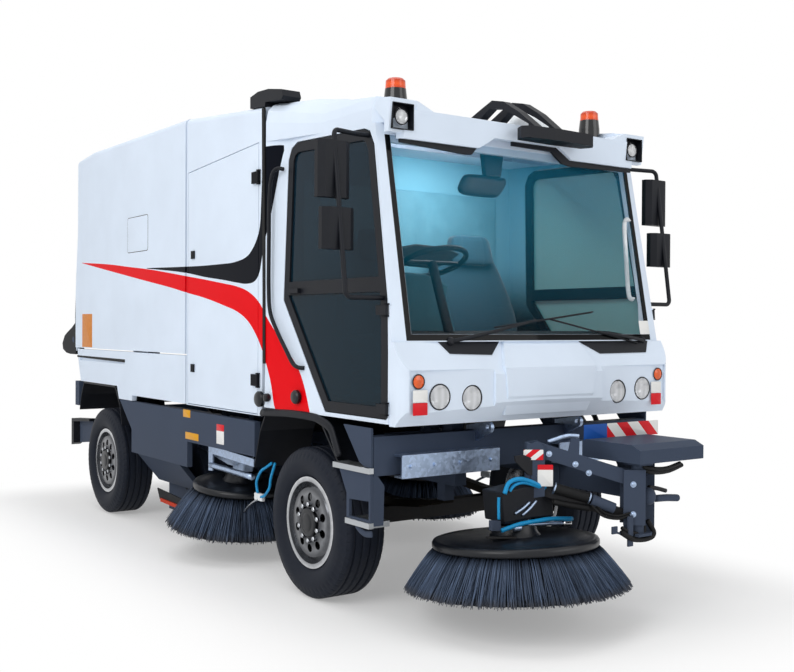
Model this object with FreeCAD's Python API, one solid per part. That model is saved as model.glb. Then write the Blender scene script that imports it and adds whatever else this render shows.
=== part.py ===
import FreeCAD, Part
import math
import os
from FreeCAD import Vector

# Street sweeper truck.  Millimetres, +X forward, +Y to the vehicle's left, +Z up.
# Every X below is measured forward of the front axle and every Z above the ground; save()
# moves each piece so that the row origin lies under the middle of the overall length.

# ---- overall ---------------------------------------------------------------
WHEELBASE = 3430.0
BODY_HALF_WIDTH = 1034.0
GAP = 6.0                      # shut line between panels
SEAT = 0.3                     # clearance where one piece sits on another
RUN = 0.6                      # radial clearance of a turning fit

# ---- wheels ----------------------------------------------------------------
TYRE_RADIUS = 447.5
TYRE_WIDTH = 300.0
RIM_RADIUS = 255.0             # bead seat
RIM_WIDTH = 222.0
RIM_WALL = 12.0
RIM_LIP = 16.0
WHEEL_CENTRE_Y = BODY_HALF_WIDTH - TYRE_WIDTH / 2
HUB_FACE = 117.0               # outboard of the wheel's middle plane
HAND_HOLES = 10
HAND_HOLE_RADIUS = 25.0
HAND_HOLE_CIRCLE = 152.0
HUB_CAP_RADIUS = 85.0
SPINDLE_RADIUS = 40.0
HUB_RADIUS = 78.0

# ---- axles and steering ----------------------------------------------------
KINGPIN_Y = WHEEL_CENTRE_Y - 114
KINGPIN_RADIUS = 26.0
KINGPIN_HALF = 88.0
AXLE_DEPTH = 90.0
AXLE_HEIGHT = 100.0
REAR_TUBE_RADIUS = 48.0
SPRING_Y = 390.0
SPRING_WIDTH = 70.0
SPRING_HALF_LENGTH = 560.0
SPRING_LEAVES = 3
LEAF_HEIGHT = 16.0
SPRING_RISE = 56.0             # main leaf's ends above its clamped middle

# ---- frame -----------------------------------------------------------------
RAIL_Y = 390.0
RAIL_WIDTH = 80.0
RAIL_BOTTOM = 700.0
RAIL_HEIGHT = 180.0
RAIL_TOP = RAIL_BOTTOM + RAIL_HEIGHT
RAIL_REAR = -4060.0
BEAM_FRONT = 760.0             # front cross beam
BEAM_DEPTH = 90.0
BEAM_BOTTOM = 815.0
BEAM_TOP = 1025.0
BEAM_HALF = BODY_HALF_WIDTH + 21
CROSS_MEMBERS = (-480.0, -1250.0, -2050.0, -3000.0, -3950.0)
CROSS_DEPTH = 90.0
TAIL_FRONT = -4060.0
TAIL_REAR = -4160.0
TAIL_BOTTOM = 880.0
TAIL_TOP = 1100.0
TOW_X = 868.0                  # towing eyes above the front beam
TOW_Y = 348.0
TOW_Z = 1050.0
TOW_BORE = 16.0
TOW_EYE = 32.0
TOW_WALL = 22.0

# ---- skirts ----------------------------------------------------------------
SKIRT_TOP = 995.0
SKIRT_SEAM = 770.0
SKIRT_BOTTOM = 585.0
SKIRT_REAR = -2790.0
SKIRT_STEP = -1700.0            # front end of the lower band
APRON_FRONT = -1960.0
SKIRT_FRONT = -655.0
SKIRT_WALL = 40.0

# ---- cab -------------------------------------------------------------------
CAB_REAR = -500.0
CAB_BOTTOM = 1100.0
CAB_TOP = 2740.0               # seam under the roof cap, about its middle
SEAM_REAR = CAB_TOP + 31
SEAM_FRONT = CAB_TOP - 23
SEAM_FRONT_X = 560.0
CAB_HALF_LOW = BODY_HALF_WIDTH + 6
CAB_HALF_HIGH = BODY_HALF_WIDTH - 44
CAB_WALL = 45.0
FLOOR_WALL = 60.0
SCREEN_BOTTOM = 1533.0
SCREEN_TOP = CAB_TOP - 85
SCREEN_X_LOW = 902.0           # corner of the screen at its bottom
SCREEN_X_HIGH = 685.0
SCREEN_BULGE = 35.0
SCREEN_HALF = CAB_HALF_LOW - 95
SCREEN_GLASS = 8.0
CORNER_DEPTH = 26.0            # how far the cab's front corner rounds back
ROOF_REAR_Z = CAB_TOP + 275
ROOF_WALL = 40.0

# ---- service section behind the cab and hopper ----------------------------
BAY_FRONT = -540.0
BAY_REAR = -1700.0
BAY_BOTTOM = 1040.0
BODY_TOP = 3110.0
BAY_FRONT_Z = BODY_TOP - 110
BAY_WALL = 40.0
HOPPER_FRONT = -1730.0
HOPPER_REAR = -4095.0
HOPPER_BOTTOM = 1405.0
HOPPER_WALL = 40.0
TIP_X = -4245.0                # tipping pin
TIP_Z = 1475.0
TIP_PIN_RADIUS = 28.0
EAR_REACH = 315.0              # ear behind the tipping pin
EAR_THICKNESS = 26.0
GATE_HALF = BODY_HALF_WIDTH - 104
GATE_THICKNESS = 50.0

# ---- brushes ---------------------------------------------------------------
FRONT_BRUSH = dict(x=1095.0, y=-335.0, z=200.0, tips=627.0, disc=456.0, drop=228.0)
SIDE_BRUSH = dict(x=-1360.0, y=-770.0, z=200.0, tips=530.0, disc=345.0, drop=270.0)
FRONT_BRUSH_TILT = 3.9         # front edge up, degrees
POST_X = 1470.0                # swinging post of the front brush
POST_Y = 200.0
SIDE_BRUSH_TILT = 5.9          # rear edge up, degrees
SIDE_PIVOT_X = -1935.0         # lifting pivot of the side brush arm
SIDE_PIVOT_Z = 735.0
SIDE_PIN_RADIUS = 18.0
SIDE_ARM_HALF = 60.0           # half width of the side brush arm
CHEEK_WALL = 12.0              # plates either side of a link or arm
CHEEK_GAP = 6.0


# ---- helpers ---------------------------------------------------------------
def block(x0, x1, y0, y1, z0, z1):
    """Box between two corners."""
    return Part.makeBox(x1 - x0, y1 - y0, z1 - z0, Vector(x0, y0, z0))


def polygon(points):
    """Closed flat wire through 3-D points."""
    return Part.Wire(Part.makePolygon(points + [points[0]]))


def prism_xz(points, y0, y1):
    """Side-view outline of (x, z) points, solid from y0 to y1."""
    wire = polygon([Vector(x, y0, z) for x, z in points])
    return Part.Face(wire).extrude(Vector(0, y1 - y0, 0))


def prism_yz(points, x0, x1):
    """Front-view outline of (y, z) points, solid from x0 to x1."""
    wire = polygon([Vector(x0, y, z) for y, z in points])
    return Part.Face(wire).extrude(Vector(x1 - x0, 0, 0))


def prism_xy(points, z0, z1):
    """Plan outline of (x, y) points, solid from z0 to z1."""
    wire = polygon([Vector(x, y, z0) for x, y in points])
    return Part.Face(wire).extrude(Vector(0, 0, z1 - z0))


def cylinder(start, axis, radius, length):
    """Cylinder from a start point along an axis."""
    return Part.makeCylinder(radius, length, Vector(*start), Vector(*axis))


def bar(start, end, radius):
    """Round bar between two points."""
    run = Vector(*end) - Vector(*start)
    return Part.makeCylinder(radius, run.Length, Vector(*start), run)


def union(*shapes):
    """One solid from shapes that touch."""
    return shapes[0].multiFuse(list(shapes[1:])).removeSplitter()


def mirrored(shape):
    """The same shape on the other side of the vehicle."""
    return shape.mirror(Vector(0, 0, 0), Vector(0, 1, 0))


def both_sides(shape):
    """A piece and its mirror image, as separate solids."""
    return Part.makeCompound([shape, mirrored(shape)])


def revolve_about_y(points, centre):
    """Turn (axial, radius) points about a Y axis; axial runs along +Y from the centre."""
    x, y, z = centre
    wire = polygon([Vector(x, y + a, z + r) for a, r in points])
    return Part.Face(wire).revolve(Vector(x, y, z), Vector(0, 1, 0), 360)


def revolve_about_z(points, centre):
    """Turn (radius, height) points about a vertical axis through the centre."""
    x, y, z = centre
    wire = polygon([Vector(x + r, y, z + h) for r, h in points])
    return Part.Face(wire).revolve(Vector(x, y, z), Vector(0, 0, 1), 360)


def tube(points, radius, bend):
    """Round tube along straight runs joined by arcs of one bend radius."""
    corners = [Vector(*p) for p in points]
    edges = []
    last = corners[0]
    for before, corner, after in zip(corners, corners[1:], corners[2:]):
        way_in = (corner - before).normalize()
        way_out = (after - corner).normalize()
        turn = way_in.getAngle(way_out)
        setback = bend * math.tan(turn / 2)
        start = corner - way_in * setback
        end = corner + way_out * setback
        inward = (way_out - way_in).normalize()
        middle = corner + inward * (bend / math.cos(turn / 2) - bend)
        edges.append(Part.makeLine(last, start))
        edges.append(Part.Arc(start, middle, end).toShape())
        last = end
    edges.append(Part.makeLine(last, corners[-1]))
    path = Part.Wire(edges)
    ring = Part.Wire(Part.makeCircle(radius, corners[0], corners[1] - corners[0]))
    sweep = Part.BRepOffsetAPI.MakePipeShell(path)
    sweep.add(ring)
    sweep.build()
    sweep.makeSolid()
    return sweep.shape()


FRONT_REACH = (FRONT_BRUSH["x"] + FRONT_BRUSH["tips"]
               * math.cos(math.radians(FRONT_BRUSH_TILT)))
REAR_REACH = TIP_X - EAR_REACH
FRONT_AXLE_X = -(FRONT_REACH + REAR_REACH) / 2


def save(name, shape):
    """Move a piece from front-axle stations into the row frame and write its file."""
    shape.translate(Vector(FRONT_AXLE_X, 0, 0))
    shape.exportStep("parts/" + name + ".step")


# ---- wheels ----------------------------------------------------------------
# Wheel stations: name, x, side (+1 is the vehicle's left)
WHEELS = (
    ("front_left", 0.0, 1),
    ("front_right", 0.0, -1),
    ("rear_left", -WHEELBASE, 1),
    ("rear_right", -WHEELBASE, -1),
)


def make_tyre():
    """Left-hand tyre at the front axle: beads, bulged sidewalls, flat tread."""
    bead = RIM_RADIUS + SEAT
    half = TYRE_WIDTH / 2
    # (axial, radius) from the inner bead over the tread to the outer bead
    side = [(RIM_WIDTH / 2 - SEAT, bead), (RIM_WIDTH / 2 - SEAT, bead + RIM_LIP + 4), (half - 10, bead + 47),
            (half, bead + 92), (half - 5, bead + 135), (half - 24, TYRE_RADIUS - 16),
            (half - 46, TYRE_RADIUS)]
    outline = [(-a, r) for a, r in side] + [(a, r) for a, r in reversed(side)]
    return revolve_about_y(outline, (0, WHEEL_CENTRE_Y, TYRE_RADIUS))


def make_rim():
    """Left-hand steel wheel: lipped barrel, dished disc with hand holes, hub and cap."""
    centre = (0, WHEEL_CENTRE_Y, TYRE_RADIUS)
    half = RIM_WIDTH / 2
    lip = RIM_RADIUS + RIM_LIP
    inside = RIM_RADIUS - RIM_WALL
    barrel = revolve_about_y(
        [(-half - 8, inside), (-half - 8, lip), (-half, lip), (-half, RIM_RADIUS),
         (half, RIM_RADIUS), (half, lip), (half + 8, lip), (half + 8, inside)], centre)
    # disc section: (axial, radius), dished outwards to the hub face
    disc = revolve_about_y(
        [(58, inside + 2), (HUB_FACE - 24, 200), (HUB_FACE - 14, 120), (HUB_FACE - 14, 0),
         (HUB_FACE, 0), (HUB_FACE, 120), (HUB_FACE - 9, 205), (74, inside + 2)], centre)
    hub_start = WHEEL_CENTRE_Y + 40
    hub = cylinder((0, hub_start, TYRE_RADIUS), (0, 1, 0), HUB_RADIUS, HUB_FACE - 50)
    bearing = cylinder((0, hub_start - 1, TYRE_RADIUS), (0, 1, 0),
                       SPINDLE_RADIUS + RUN, HUB_FACE - 66)
    cap = Part.makeCone(HUB_CAP_RADIUS, HUB_CAP_RADIUS - 12, 18,
                        Vector(0, WHEEL_CENTRE_Y + HUB_FACE - 1, TYRE_RADIUS), Vector(0, 1, 0))
    wheel = union(barrel, disc, hub, cap).cut(bearing)
    for index in range(HAND_HOLES):
        angle = 2 * math.pi * (index + 0.5) / HAND_HOLES
        hole = cylinder((HAND_HOLE_CIRCLE * math.cos(angle), WHEEL_CENTRE_Y + HUB_FACE - 40,
                         TYRE_RADIUS + HAND_HOLE_CIRCLE * math.sin(angle)),
                        (0, 1, 0), HAND_HOLE_RADIUS, 60)
        wheel = wheel.cut(hole)
    return wheel


def save_wheels():
    """Write the four tyres and four rims from one left-hand pair."""
    tyre = make_tyre()
    rim = make_rim()
    for name, x, side in WHEELS:
        for kind, piece in (("tyre", tyre), ("rim", rim)):
            placed = piece.copy() if side > 0 else mirrored(piece)
            placed.translate(Vector(x, 0, 0))
            save(kind + "_" + name, placed)


# ---- axles -----------------------------------------------------------------
def leaf_spring():
    """Leaf pack over an axle: straight clamped middle, leaves shorter towards the bottom."""
    seat = TYRE_RADIUS + AXLE_HEIGHT / 2
    leaves = []
    for index in range(SPRING_LEAVES):
        reach = SPRING_HALF_LENGTH * (1 - 0.22 * (SPRING_LEAVES - 1 - index))
        low = seat + LEAF_HEIGHT * index
        rise = SPRING_RISE * reach / SPRING_HALF_LENGTH
        leaves.append(prism_xz(
            [(-60, low), (60, low), (reach, low + rise), (reach, low + rise + LEAF_HEIGHT),
             (60, low + LEAF_HEIGHT), (-60, low + LEAF_HEIGHT),
             (-reach, low + rise + LEAF_HEIGHT), (-reach, low + rise)],
            SPRING_Y - SPRING_WIDTH / 2, SPRING_Y + SPRING_WIDTH / 2))
    return union(*leaves)


def save_axles():
    """Steered front beam with yokes and kingpins, rear tube with differential, leaf packs."""
    z = TYRE_RADIUS
    ear_in = 52.0
    ear_out = KINGPIN_HALF
    yoke_radius = 36.0
    web_in, web_out = KINGPIN_Y - 80, KINGPIN_Y - 48
    beam = block(-AXLE_DEPTH / 2, AXLE_DEPTH / 2, -web_in, web_in,
                 z - AXLE_HEIGHT / 2, z + AXLE_HEIGHT / 2)
    web = block(-yoke_radius, yoke_radius, web_in, web_out, z - ear_out, z + ear_out)
    parts = [beam, web, mirrored(web)]
    for low in (z + ear_in, z - ear_out):
        height = ear_out - ear_in
        ear = block(-yoke_radius, yoke_radius, web_in, KINGPIN_Y, low, low + height)
        eye = cylinder((0, KINGPIN_Y, low), (0, 0, 1), yoke_radius, height)
        parts += [ear, eye, mirrored(ear), mirrored(eye)]
    pin = cylinder((0, KINGPIN_Y, z - ear_out), (0, 0, 1), KINGPIN_RADIUS, 2 * ear_out)
    parts += [pin, mirrored(pin)]
    save("front_axle", union(*parts))

    x = -WHEELBASE
    spindle_end = WHEEL_CENTRE_Y + HUB_FACE - 34
    tube_end = WHEEL_CENTRE_Y + 32
    casing = union(
        cylinder((x, -tube_end, z), (0, 1, 0), REAR_TUBE_RADIUS, 2 * tube_end),
        cylinder((x, -spindle_end, z), (0, 1, 0), SPINDLE_RADIUS, 2 * spindle_end),
        cylinder((x, -95, z), (0, 1, 0), 165, 190),
        block(x - 45, x + 45, -SPRING_Y - 45, -SPRING_Y + 45, z, z + AXLE_HEIGHT / 2),
        block(x - 45, x + 45, SPRING_Y - 45, SPRING_Y + 45, z, z + AXLE_HEIGHT / 2))
    save("rear_axle", casing)

    springs = []
    for station in (0.0, -WHEELBASE):
        pack = leaf_spring()
        pack.translate(Vector(station, 0, SEAT))
        springs += [pack, mirrored(pack)]
    save("leaf_springs", Part.makeCompound(springs))


def make_knuckle():
    """Left-hand steering knuckle: kingpin boss, spindle, brake plate and steering arm."""
    z = TYRE_RADIUS
    boss_half = 50.0
    boss = cylinder((0, KINGPIN_Y, z - boss_half), (0, 0, 1), 35, 2 * boss_half)
    spindle_end = WHEEL_CENTRE_Y + HUB_FACE - 34
    spindle = cylinder((0, KINGPIN_Y, z), (0, 1, 0), SPINDLE_RADIUS, spindle_end - KINGPIN_Y)
    plate = cylinder((0, KINGPIN_Y + 62, z), (0, 1, 0), 150, 20)
    arm = prism_xy([(20, KINGPIN_Y + 62), (-150, KINGPIN_Y - 10), (-150, KINGPIN_Y - 55),
                    (-100, KINGPIN_Y - 55), (-30, KINGPIN_Y)], z - 30, z - 4)
    bore = cylinder((0, KINGPIN_Y, z - boss_half - 1), (0, 0, 1),
                    KINGPIN_RADIUS + RUN, 2 * boss_half + 2)
    return union(boss, spindle, plate, arm).cut(bore)


# ---- frame -----------------------------------------------------------------
PIN_OUTER = BODY_HALF_WIDTH - 6
PIN_INNER = PIN_OUTER - 88
ARM_INNER = PIN_INNER + 10
ARM_THICKNESS = 30.0
RAM_FOOT_X = -2100.0
RAM_FOOT_Z = 970.0
RAM_Y = 600.0
RAM_RADIUS = 55.0


def save_frame():
    """Ladder frame: rails, cross members, end beams, body posts and spring hangers."""
    rail_in, rail_out = RAIL_Y - RAIL_WIDTH / 2, RAIL_Y + RAIL_WIDTH / 2
    beam_rear = BEAM_FRONT - BEAM_DEPTH
    parts = [block(beam_rear, BEAM_FRONT, -BEAM_HALF, BEAM_HALF, BEAM_BOTTOM, BEAM_TOP),
             block(TAIL_REAR, TAIL_FRONT, -BODY_HALF_WIDTH, BODY_HALF_WIDTH,
                   TAIL_BOTTOM, TAIL_TOP)]
    for x in CROSS_MEMBERS:
        parts.append(block(x - CROSS_DEPTH / 2, x + CROSS_DEPTH / 2, -rail_in, rail_in,
                           RAIL_BOTTOM + 20, RAIL_TOP - 20))
    # posts on each rail: x, depth, top
    posts = (
        (600.0, 80.0, CAB_BOTTOM - SEAT),        # cab, front
        (-430.0, 80.0, CAB_BOTTOM - SEAT),       # cab, rear
        (-640.0, 80.0, BAY_BOTTOM - SEAT),       # service section, front
        (-1580.0, 80.0, BAY_BOTTOM - SEAT),      # service section, rear
        (-1850.0, 90.0, HOPPER_BOTTOM - SEAT),   # hopper rest, front
        (-3890.0, 90.0, HOPPER_BOTTOM - SEAT),   # hopper rest, rear
    )
    half_side = [block(RAIL_REAR, beam_rear, rail_in, rail_out, RAIL_BOTTOM, RAIL_TOP)]
    for x, depth, top in posts:
        half_side.append(block(x - depth / 2, x + depth / 2, rail_in, rail_out, RAIL_TOP, top))
    hanger_low = (TYRE_RADIUS + AXLE_HEIGHT / 2 + SEAT + SPRING_LEAVES * LEAF_HEIGHT
                  + SPRING_RISE + SEAT)
    for axle_x in (0.0, -WHEELBASE):
        for end in (-1, 1):
            x = axle_x + end * (SPRING_HALF_LENGTH - 30)
            half_side.append(block(x - 35, x + 35, rail_in + 5, rail_out - 5,
                                   hanger_low, RAIL_BOTTOM))
    for piece in half_side:
        parts += [piece, mirrored(piece)]
    save("frame", Part.makeCompound(parts))
    eye = tow_eye(beam_rear)
    save("tow_eyes", both_sides(eye))
    brackets = []
    for piece in (ram_foot(rail_out), tipping_arm(), side_arm_bracket(rail_out)):
        brackets += [piece, mirrored(piece)]
    save("frame_brackets", Part.makeCompound(brackets))


def tow_eye(beam_rear):
    """Towing eye plate standing on the front beam and reaching ahead of it (left-hand)."""
    low, high = TOW_Y - TOW_WALL / 2, TOW_Y + TOW_WALL / 2
    plate = prism_xz([(beam_rear + 10, BEAM_TOP), (beam_rear + 10, BEAM_TOP + 25), (TOW_X, TOW_Z + TOW_EYE),
                      (TOW_X, TOW_Z - TOW_EYE), (BEAM_FRONT, BEAM_TOP - 60), (BEAM_FRONT, BEAM_TOP)],
                     low, high)
    eye = cylinder((TOW_X, low, TOW_Z), (0, 1, 0), TOW_EYE, TOW_WALL)
    hole = cylinder((TOW_X, low - 1, TOW_Z), (0, 1, 0), TOW_BORE, TOW_WALL + 2)
    return plate.fuse(eye).cut(hole).removeSplitter()


def ram_foot(rail_out):
    """Outrigger on the rail with the cheek and pin of a tipping cylinder (left-hand)."""
    cheek = RAM_Y - RAM_RADIUS - CHEEK_GAP
    return union(
        block(RAM_FOOT_X - 60, RAM_FOOT_X + 60, rail_out, cheek, RAIL_BOTTOM + 60, RAIL_TOP),
        prism_xz([(RAM_FOOT_X - 60, RAIL_BOTTOM + 60), (RAM_FOOT_X + 60, RAIL_BOTTOM + 60),
                  (RAM_FOOT_X + 40, RAM_FOOT_Z + 40), (RAM_FOOT_X - 40, RAM_FOOT_Z + 40)],
                 cheek - 24, cheek),
        cylinder((RAM_FOOT_X, cheek - 10, RAM_FOOT_Z), (0, 1, 0), 20, RAM_Y + 35 - cheek + 10))


def tipping_arm():
    """Plate on the tail beam that carries the hopper's tipping pin (left-hand)."""
    plate = prism_xz([(TAIL_FRONT, TAIL_TOP), (TAIL_REAR, TAIL_TOP),
                      (TIP_X - 45, TIP_Z), (TIP_X - 32, TIP_Z + 32), (TIP_X, TIP_Z + 45),
                      (TIP_X + 32, TIP_Z + 32), (TIP_X + 45, TIP_Z)],
                     ARM_INNER, ARM_INNER + ARM_THICKNESS)
    pin = cylinder((TIP_X, PIN_INNER, TIP_Z), (0, 1, 0), TIP_PIN_RADIUS, PIN_OUTER - PIN_INNER)
    return union(plate, pin)


def side_arm_bracket(rail_out):
    """Outrigger on the rail with two cheeks and the side brush arm's pin (left-hand)."""
    low, high = SIDE_PIVOT_Z - 35, SIDE_PIVOT_Z + 40
    inner = -SIDE_BRUSH["y"] - SIDE_ARM_HALF - CHEEK_GAP
    outer = -SIDE_BRUSH["y"] + SIDE_ARM_HALF + CHEEK_GAP
    rear = SIDE_PIVOT_X - 75
    return union(
        block(rear, rear + 35, rail_out, outer + CHEEK_WALL, low, high),
        block(rear, SIDE_PIVOT_X + 30, inner - CHEEK_WALL, inner, low, high),
        block(rear, SIDE_PIVOT_X + 30, outer, outer + CHEEK_WALL, low, high),
        cylinder((SIDE_PIVOT_X, inner - 1, SIDE_PIVOT_Z), (0, 1, 0), SIDE_PIN_RADIUS,
                 outer - inner + 2))


CHANNEL_INNER = 235.0
CHANNEL_OUTER = 920.0
CHANNEL_BOTTOM = 800.0
CHANNEL_HEIGHT = 125.0
CHANNEL_DEPTH = 70.0
CHANNEL_WALL = 10.0


def save_bumper():
    """Two galvanised channels bolted to the front beam, open towards the rear."""
    x = BEAM_FRONT + SEAT
    low, high = CHANNEL_BOTTOM, CHANNEL_BOTTOM + CHANNEL_HEIGHT
    nose = x + CHANNEL_DEPTH
    section = [(x, low), (nose, low), (nose, high), (x, high), (x, high - CHANNEL_WALL),
               (nose - CHANNEL_WALL, high - CHANNEL_WALL), (nose - CHANNEL_WALL, low + CHANNEL_WALL),
               (x, low + CHANNEL_WALL)]
    save("bumper_channels", both_sides(prism_xz(section, CHANNEL_INNER, CHANNEL_OUTER)))


# ---- low body --------------------------------------------------------------
def save_skirts():
    """Grey side skirts between the axles: upper band, lower band, inward-sloping apron."""
    outer = BODY_HALF_WIDTH - 8
    upper = prism_xz([(SKIRT_REAR - 270, SKIRT_TOP), (SKIRT_REAR, SKIRT_SEAM), (SKIRT_FRONT, SKIRT_SEAM),
                      (SKIRT_FRONT, SKIRT_TOP)], outer - SKIRT_WALL, outer)
    lower = block(SKIRT_REAR, SKIRT_STEP, outer - SKIRT_WALL, outer, SKIRT_BOTTOM, SKIRT_SEAM)
    apron = prism_yz([(outer - SKIRT_WALL, SKIRT_BOTTOM + 60), (outer - SKIRT_WALL, SKIRT_BOTTOM),
                      (outer - 235, SKIRT_BOTTOM - 240), (outer - 260, SKIRT_BOTTOM - 220)],
                     SKIRT_REAR, APRON_FRONT)
    shelf = block(SKIRT_STEP, SKIRT_FRONT, RAIL_Y + RAIL_WIDTH / 2 + SEAT, outer - SKIRT_WALL,
                  SKIRT_SEAM, SKIRT_SEAM + 30)
    rib = block(SKIRT_REAR, SKIRT_REAR + 40, RAIL_Y + RAIL_WIDTH / 2 + SEAT, outer - SKIRT_WALL,
                SKIRT_SEAM, RAIL_TOP - 20)
    save("side_skirts", both_sides(union(upper, lower, apron, shelf, rib)))


ARCH_TOP = 1105.0
ARCH_FRONT = -3055.0
ARCH_REAR = -3985.0
PANEL_TOP = HOPPER_BOTTOM - 12
PANEL_WALL = 40.0


def save_lower_panels():
    """White fixed panels under the hopper, cut for the rear wheel arch and an air slot."""
    outer = BODY_HALF_WIDTH
    outline = [(HOPPER_REAR + 85, ARCH_TOP), (HOPPER_REAR, PANEL_TOP - 60), (HOPPER_REAR, PANEL_TOP), (HOPPER_FRONT + 10, PANEL_TOP),
               (HOPPER_FRONT + 10, 1045), (-2765, 1045), (-2765, SKIRT_TOP + 6), (ARCH_FRONT, SKIRT_TOP + 6),
               (ARCH_FRONT - 45, ARCH_TOP)]
    panel = prism_xz(outline, outer - PANEL_WALL, outer)
    slot = block(HOPPER_REAR + 60, -2925, outer - 12, outer + 1, 1292, 1318)
    # brackets to the rail posts and the ladder frame
    front_rib = block(-1890, -1850, RAIL_Y + RAIL_WIDTH / 2 + SEAT, outer - PANEL_WALL, 1180, 1260)
    rear_rib = block(-3930, -3890, RAIL_Y + RAIL_WIDTH / 2 + SEAT, outer - PANEL_WALL, 1180, 1260)
    save("lower_panels", both_sides(union(panel.cut(slot), front_rib, rear_rib)))


GUARD_WALL = 14.0
GUARD_INNER = 640.0


def save_mudguards():
    """Black folded guards over the wheels."""
    outer = BODY_HALF_WIDTH
    # outlines in side view, (x, z) along the outside then back along the inside
    front_top, rear_top = CAB_BOTTOM - SEAT, ARCH_TOP - SEAT
    front_run = [(-640, 720), (-560, 960), (-470, front_top), (150, front_top), (420, 800)]
    rear_run = [(-4040, 860), (-3990, 1000), (-3925, rear_top), (-3150, rear_top), (-3040, 960),
                (-2990, 800)]
    guards = []
    for run in (front_run, rear_run):
        inside = [(x, z - GUARD_WALL * 1.2) for x, z in reversed(run)]
        guard = prism_xz(run + inside, GUARD_INNER, outer)
        guards += [guard, mirrored(guard)]
    save("mudguards", Part.makeCompound(guards))


STEP_REAR = 560.0
STEP_BOTTOM = 520.0
STEP_OUTER = 1075.0
TREAD_REACH = 70.0
TREAD_HEIGHT = 30.0
HIGH_TREAD = 860.0


def save_steps():
    """Step boxes under the doors: side plate with an opening, two treads, front plate."""
    plate = prism_xz([(STEP_REAR + 40, BEAM_TOP - 60), (STEP_REAR, 800), (STEP_REAR, STEP_BOTTOM),
                      (BEAM_FRONT, STEP_BOTTOM), (BEAM_FRONT, BEAM_BOTTOM), (BEAM_FRONT, BEAM_TOP - 60)],
                     BEAM_HALF + SEAT, STEP_OUTER)
    opening = block(STEP_REAR + 28, BEAM_FRONT - 28, BEAM_HALF, STEP_OUTER + 1, 560, 690)
    front_plate = block(BEAM_FRONT - 12, BEAM_FRONT, 900, STEP_OUTER, STEP_BOTTOM, BEAM_BOTTOM - SEAT)
    low_tread = block(STEP_REAR, BEAM_FRONT, 940, STEP_OUTER + TREAD_REACH, STEP_BOTTOM - 10,
                      STEP_BOTTOM - 10 + TREAD_HEIGHT)
    high_tread = block(STEP_REAR, BEAM_FRONT, BEAM_HALF + SEAT, STEP_OUTER + TREAD_REACH,
                       HIGH_TREAD - TREAD_HEIGHT, HIGH_TREAD)
    save("step_units", both_sides(union(plate.cut(opening), front_plate, low_tread, high_tread)))


def save_engine():
    """The engine and gearbox, one plain block low in the service section."""
    save("engine", block(-1500, -720, -RAIL_Y + RAIL_WIDTH / 2 + SEAT, RAIL_Y - RAIL_WIDTH / 2 - SEAT,
                         RAIL_TOP - 20 + SEAT, 1500))


MAIN_X = -2330.0
MAIN_Z = 345.0
MAIN_RADIUS = 300.0
MAIN_HALF = 700.0
HOOD_GAP = 25.0
HOOD_WALL = 20.0
HOOD_CHEEK = 25.0


def save_main_brush():
    """Transverse roller brush under the body, and the hood and cheeks that carry it."""
    core = 95.0
    shaft = 30.0
    end = MAIN_HALF + HOOD_GAP
    roller = revolve_about_y(
        [(-end - HOOD_CHEEK + 1, 0), (-end - HOOD_CHEEK + 1, shaft), (-MAIN_HALF, shaft),
         (-MAIN_HALF, core), (-MAIN_HALF + 15, MAIN_RADIUS), (MAIN_HALF - 15, MAIN_RADIUS),
         (MAIN_HALF, core), (MAIN_HALF, shaft), (end + HOOD_CHEEK - 1, shaft),
         (end + HOOD_CHEEK - 1, 0)], (MAIN_X, 0, MAIN_Z))
    save("main_brush", roller)
    inside = MAIN_RADIUS + HOOD_GAP
    top = RAIL_BOTTOM - SEAT
    # hood in side view: (x, z) over the roller, down to its shaft height
    outer = [(MAIN_X - inside - HOOD_WALL, MAIN_Z - 60), (MAIN_X - inside - HOOD_WALL, MAIN_Z + 140),
             (MAIN_X - 170, top), (MAIN_X + 170, top), (MAIN_X + inside + HOOD_WALL, MAIN_Z + 140),
             (MAIN_X + inside + HOOD_WALL, MAIN_Z - 60)]
    shell = prism_xz(outer, -end, end)
    shell = shell.cut(cylinder((MAIN_X, -end - 1, MAIN_Z), (0, 1, 0), inside, 2 * end + 2))
    shell = shell.cut(block(MAIN_X - inside, MAIN_X + inside, -end - 1, end + 1, 0, MAIN_Z))
    cheek_outline = [(MAIN_X - inside - HOOD_WALL, 120), (MAIN_X - inside - HOOD_WALL, MAIN_Z + 140),
                     (MAIN_X - 170, top), (MAIN_X + 170, top), (MAIN_X + inside + HOOD_WALL, MAIN_Z + 140),
                     (MAIN_X + inside + HOOD_WALL, 120)]
    cheek = prism_xz(cheek_outline, end, end + HOOD_CHEEK)
    cheek = cheek.cut(cylinder((MAIN_X, end - 1, MAIN_Z), (0, 1, 0), shaft + RUN, HOOD_CHEEK + 2))
    save("brush_hood", union(shell, cheek, mirrored(cheek)))


# ---- cab -------------------------------------------------------------------
SCREEN_SLOPE = (SCREEN_X_HIGH - SCREEN_X_LOW) / (SCREEN_TOP - SCREEN_BOTTOM)
CAB_LOW_FRONT = 872.0          # front of the cab's lower shell, behind the front panel
SCREEN_LEDGE = 40.0
MID_BAR_LOW = 1800.0
MID_BAR_HIGH = 1880.0
DOOR_FRAME = 58.0
PANE_THICKNESS = 6.0
PANE_DEPTH = 12.0
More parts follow.
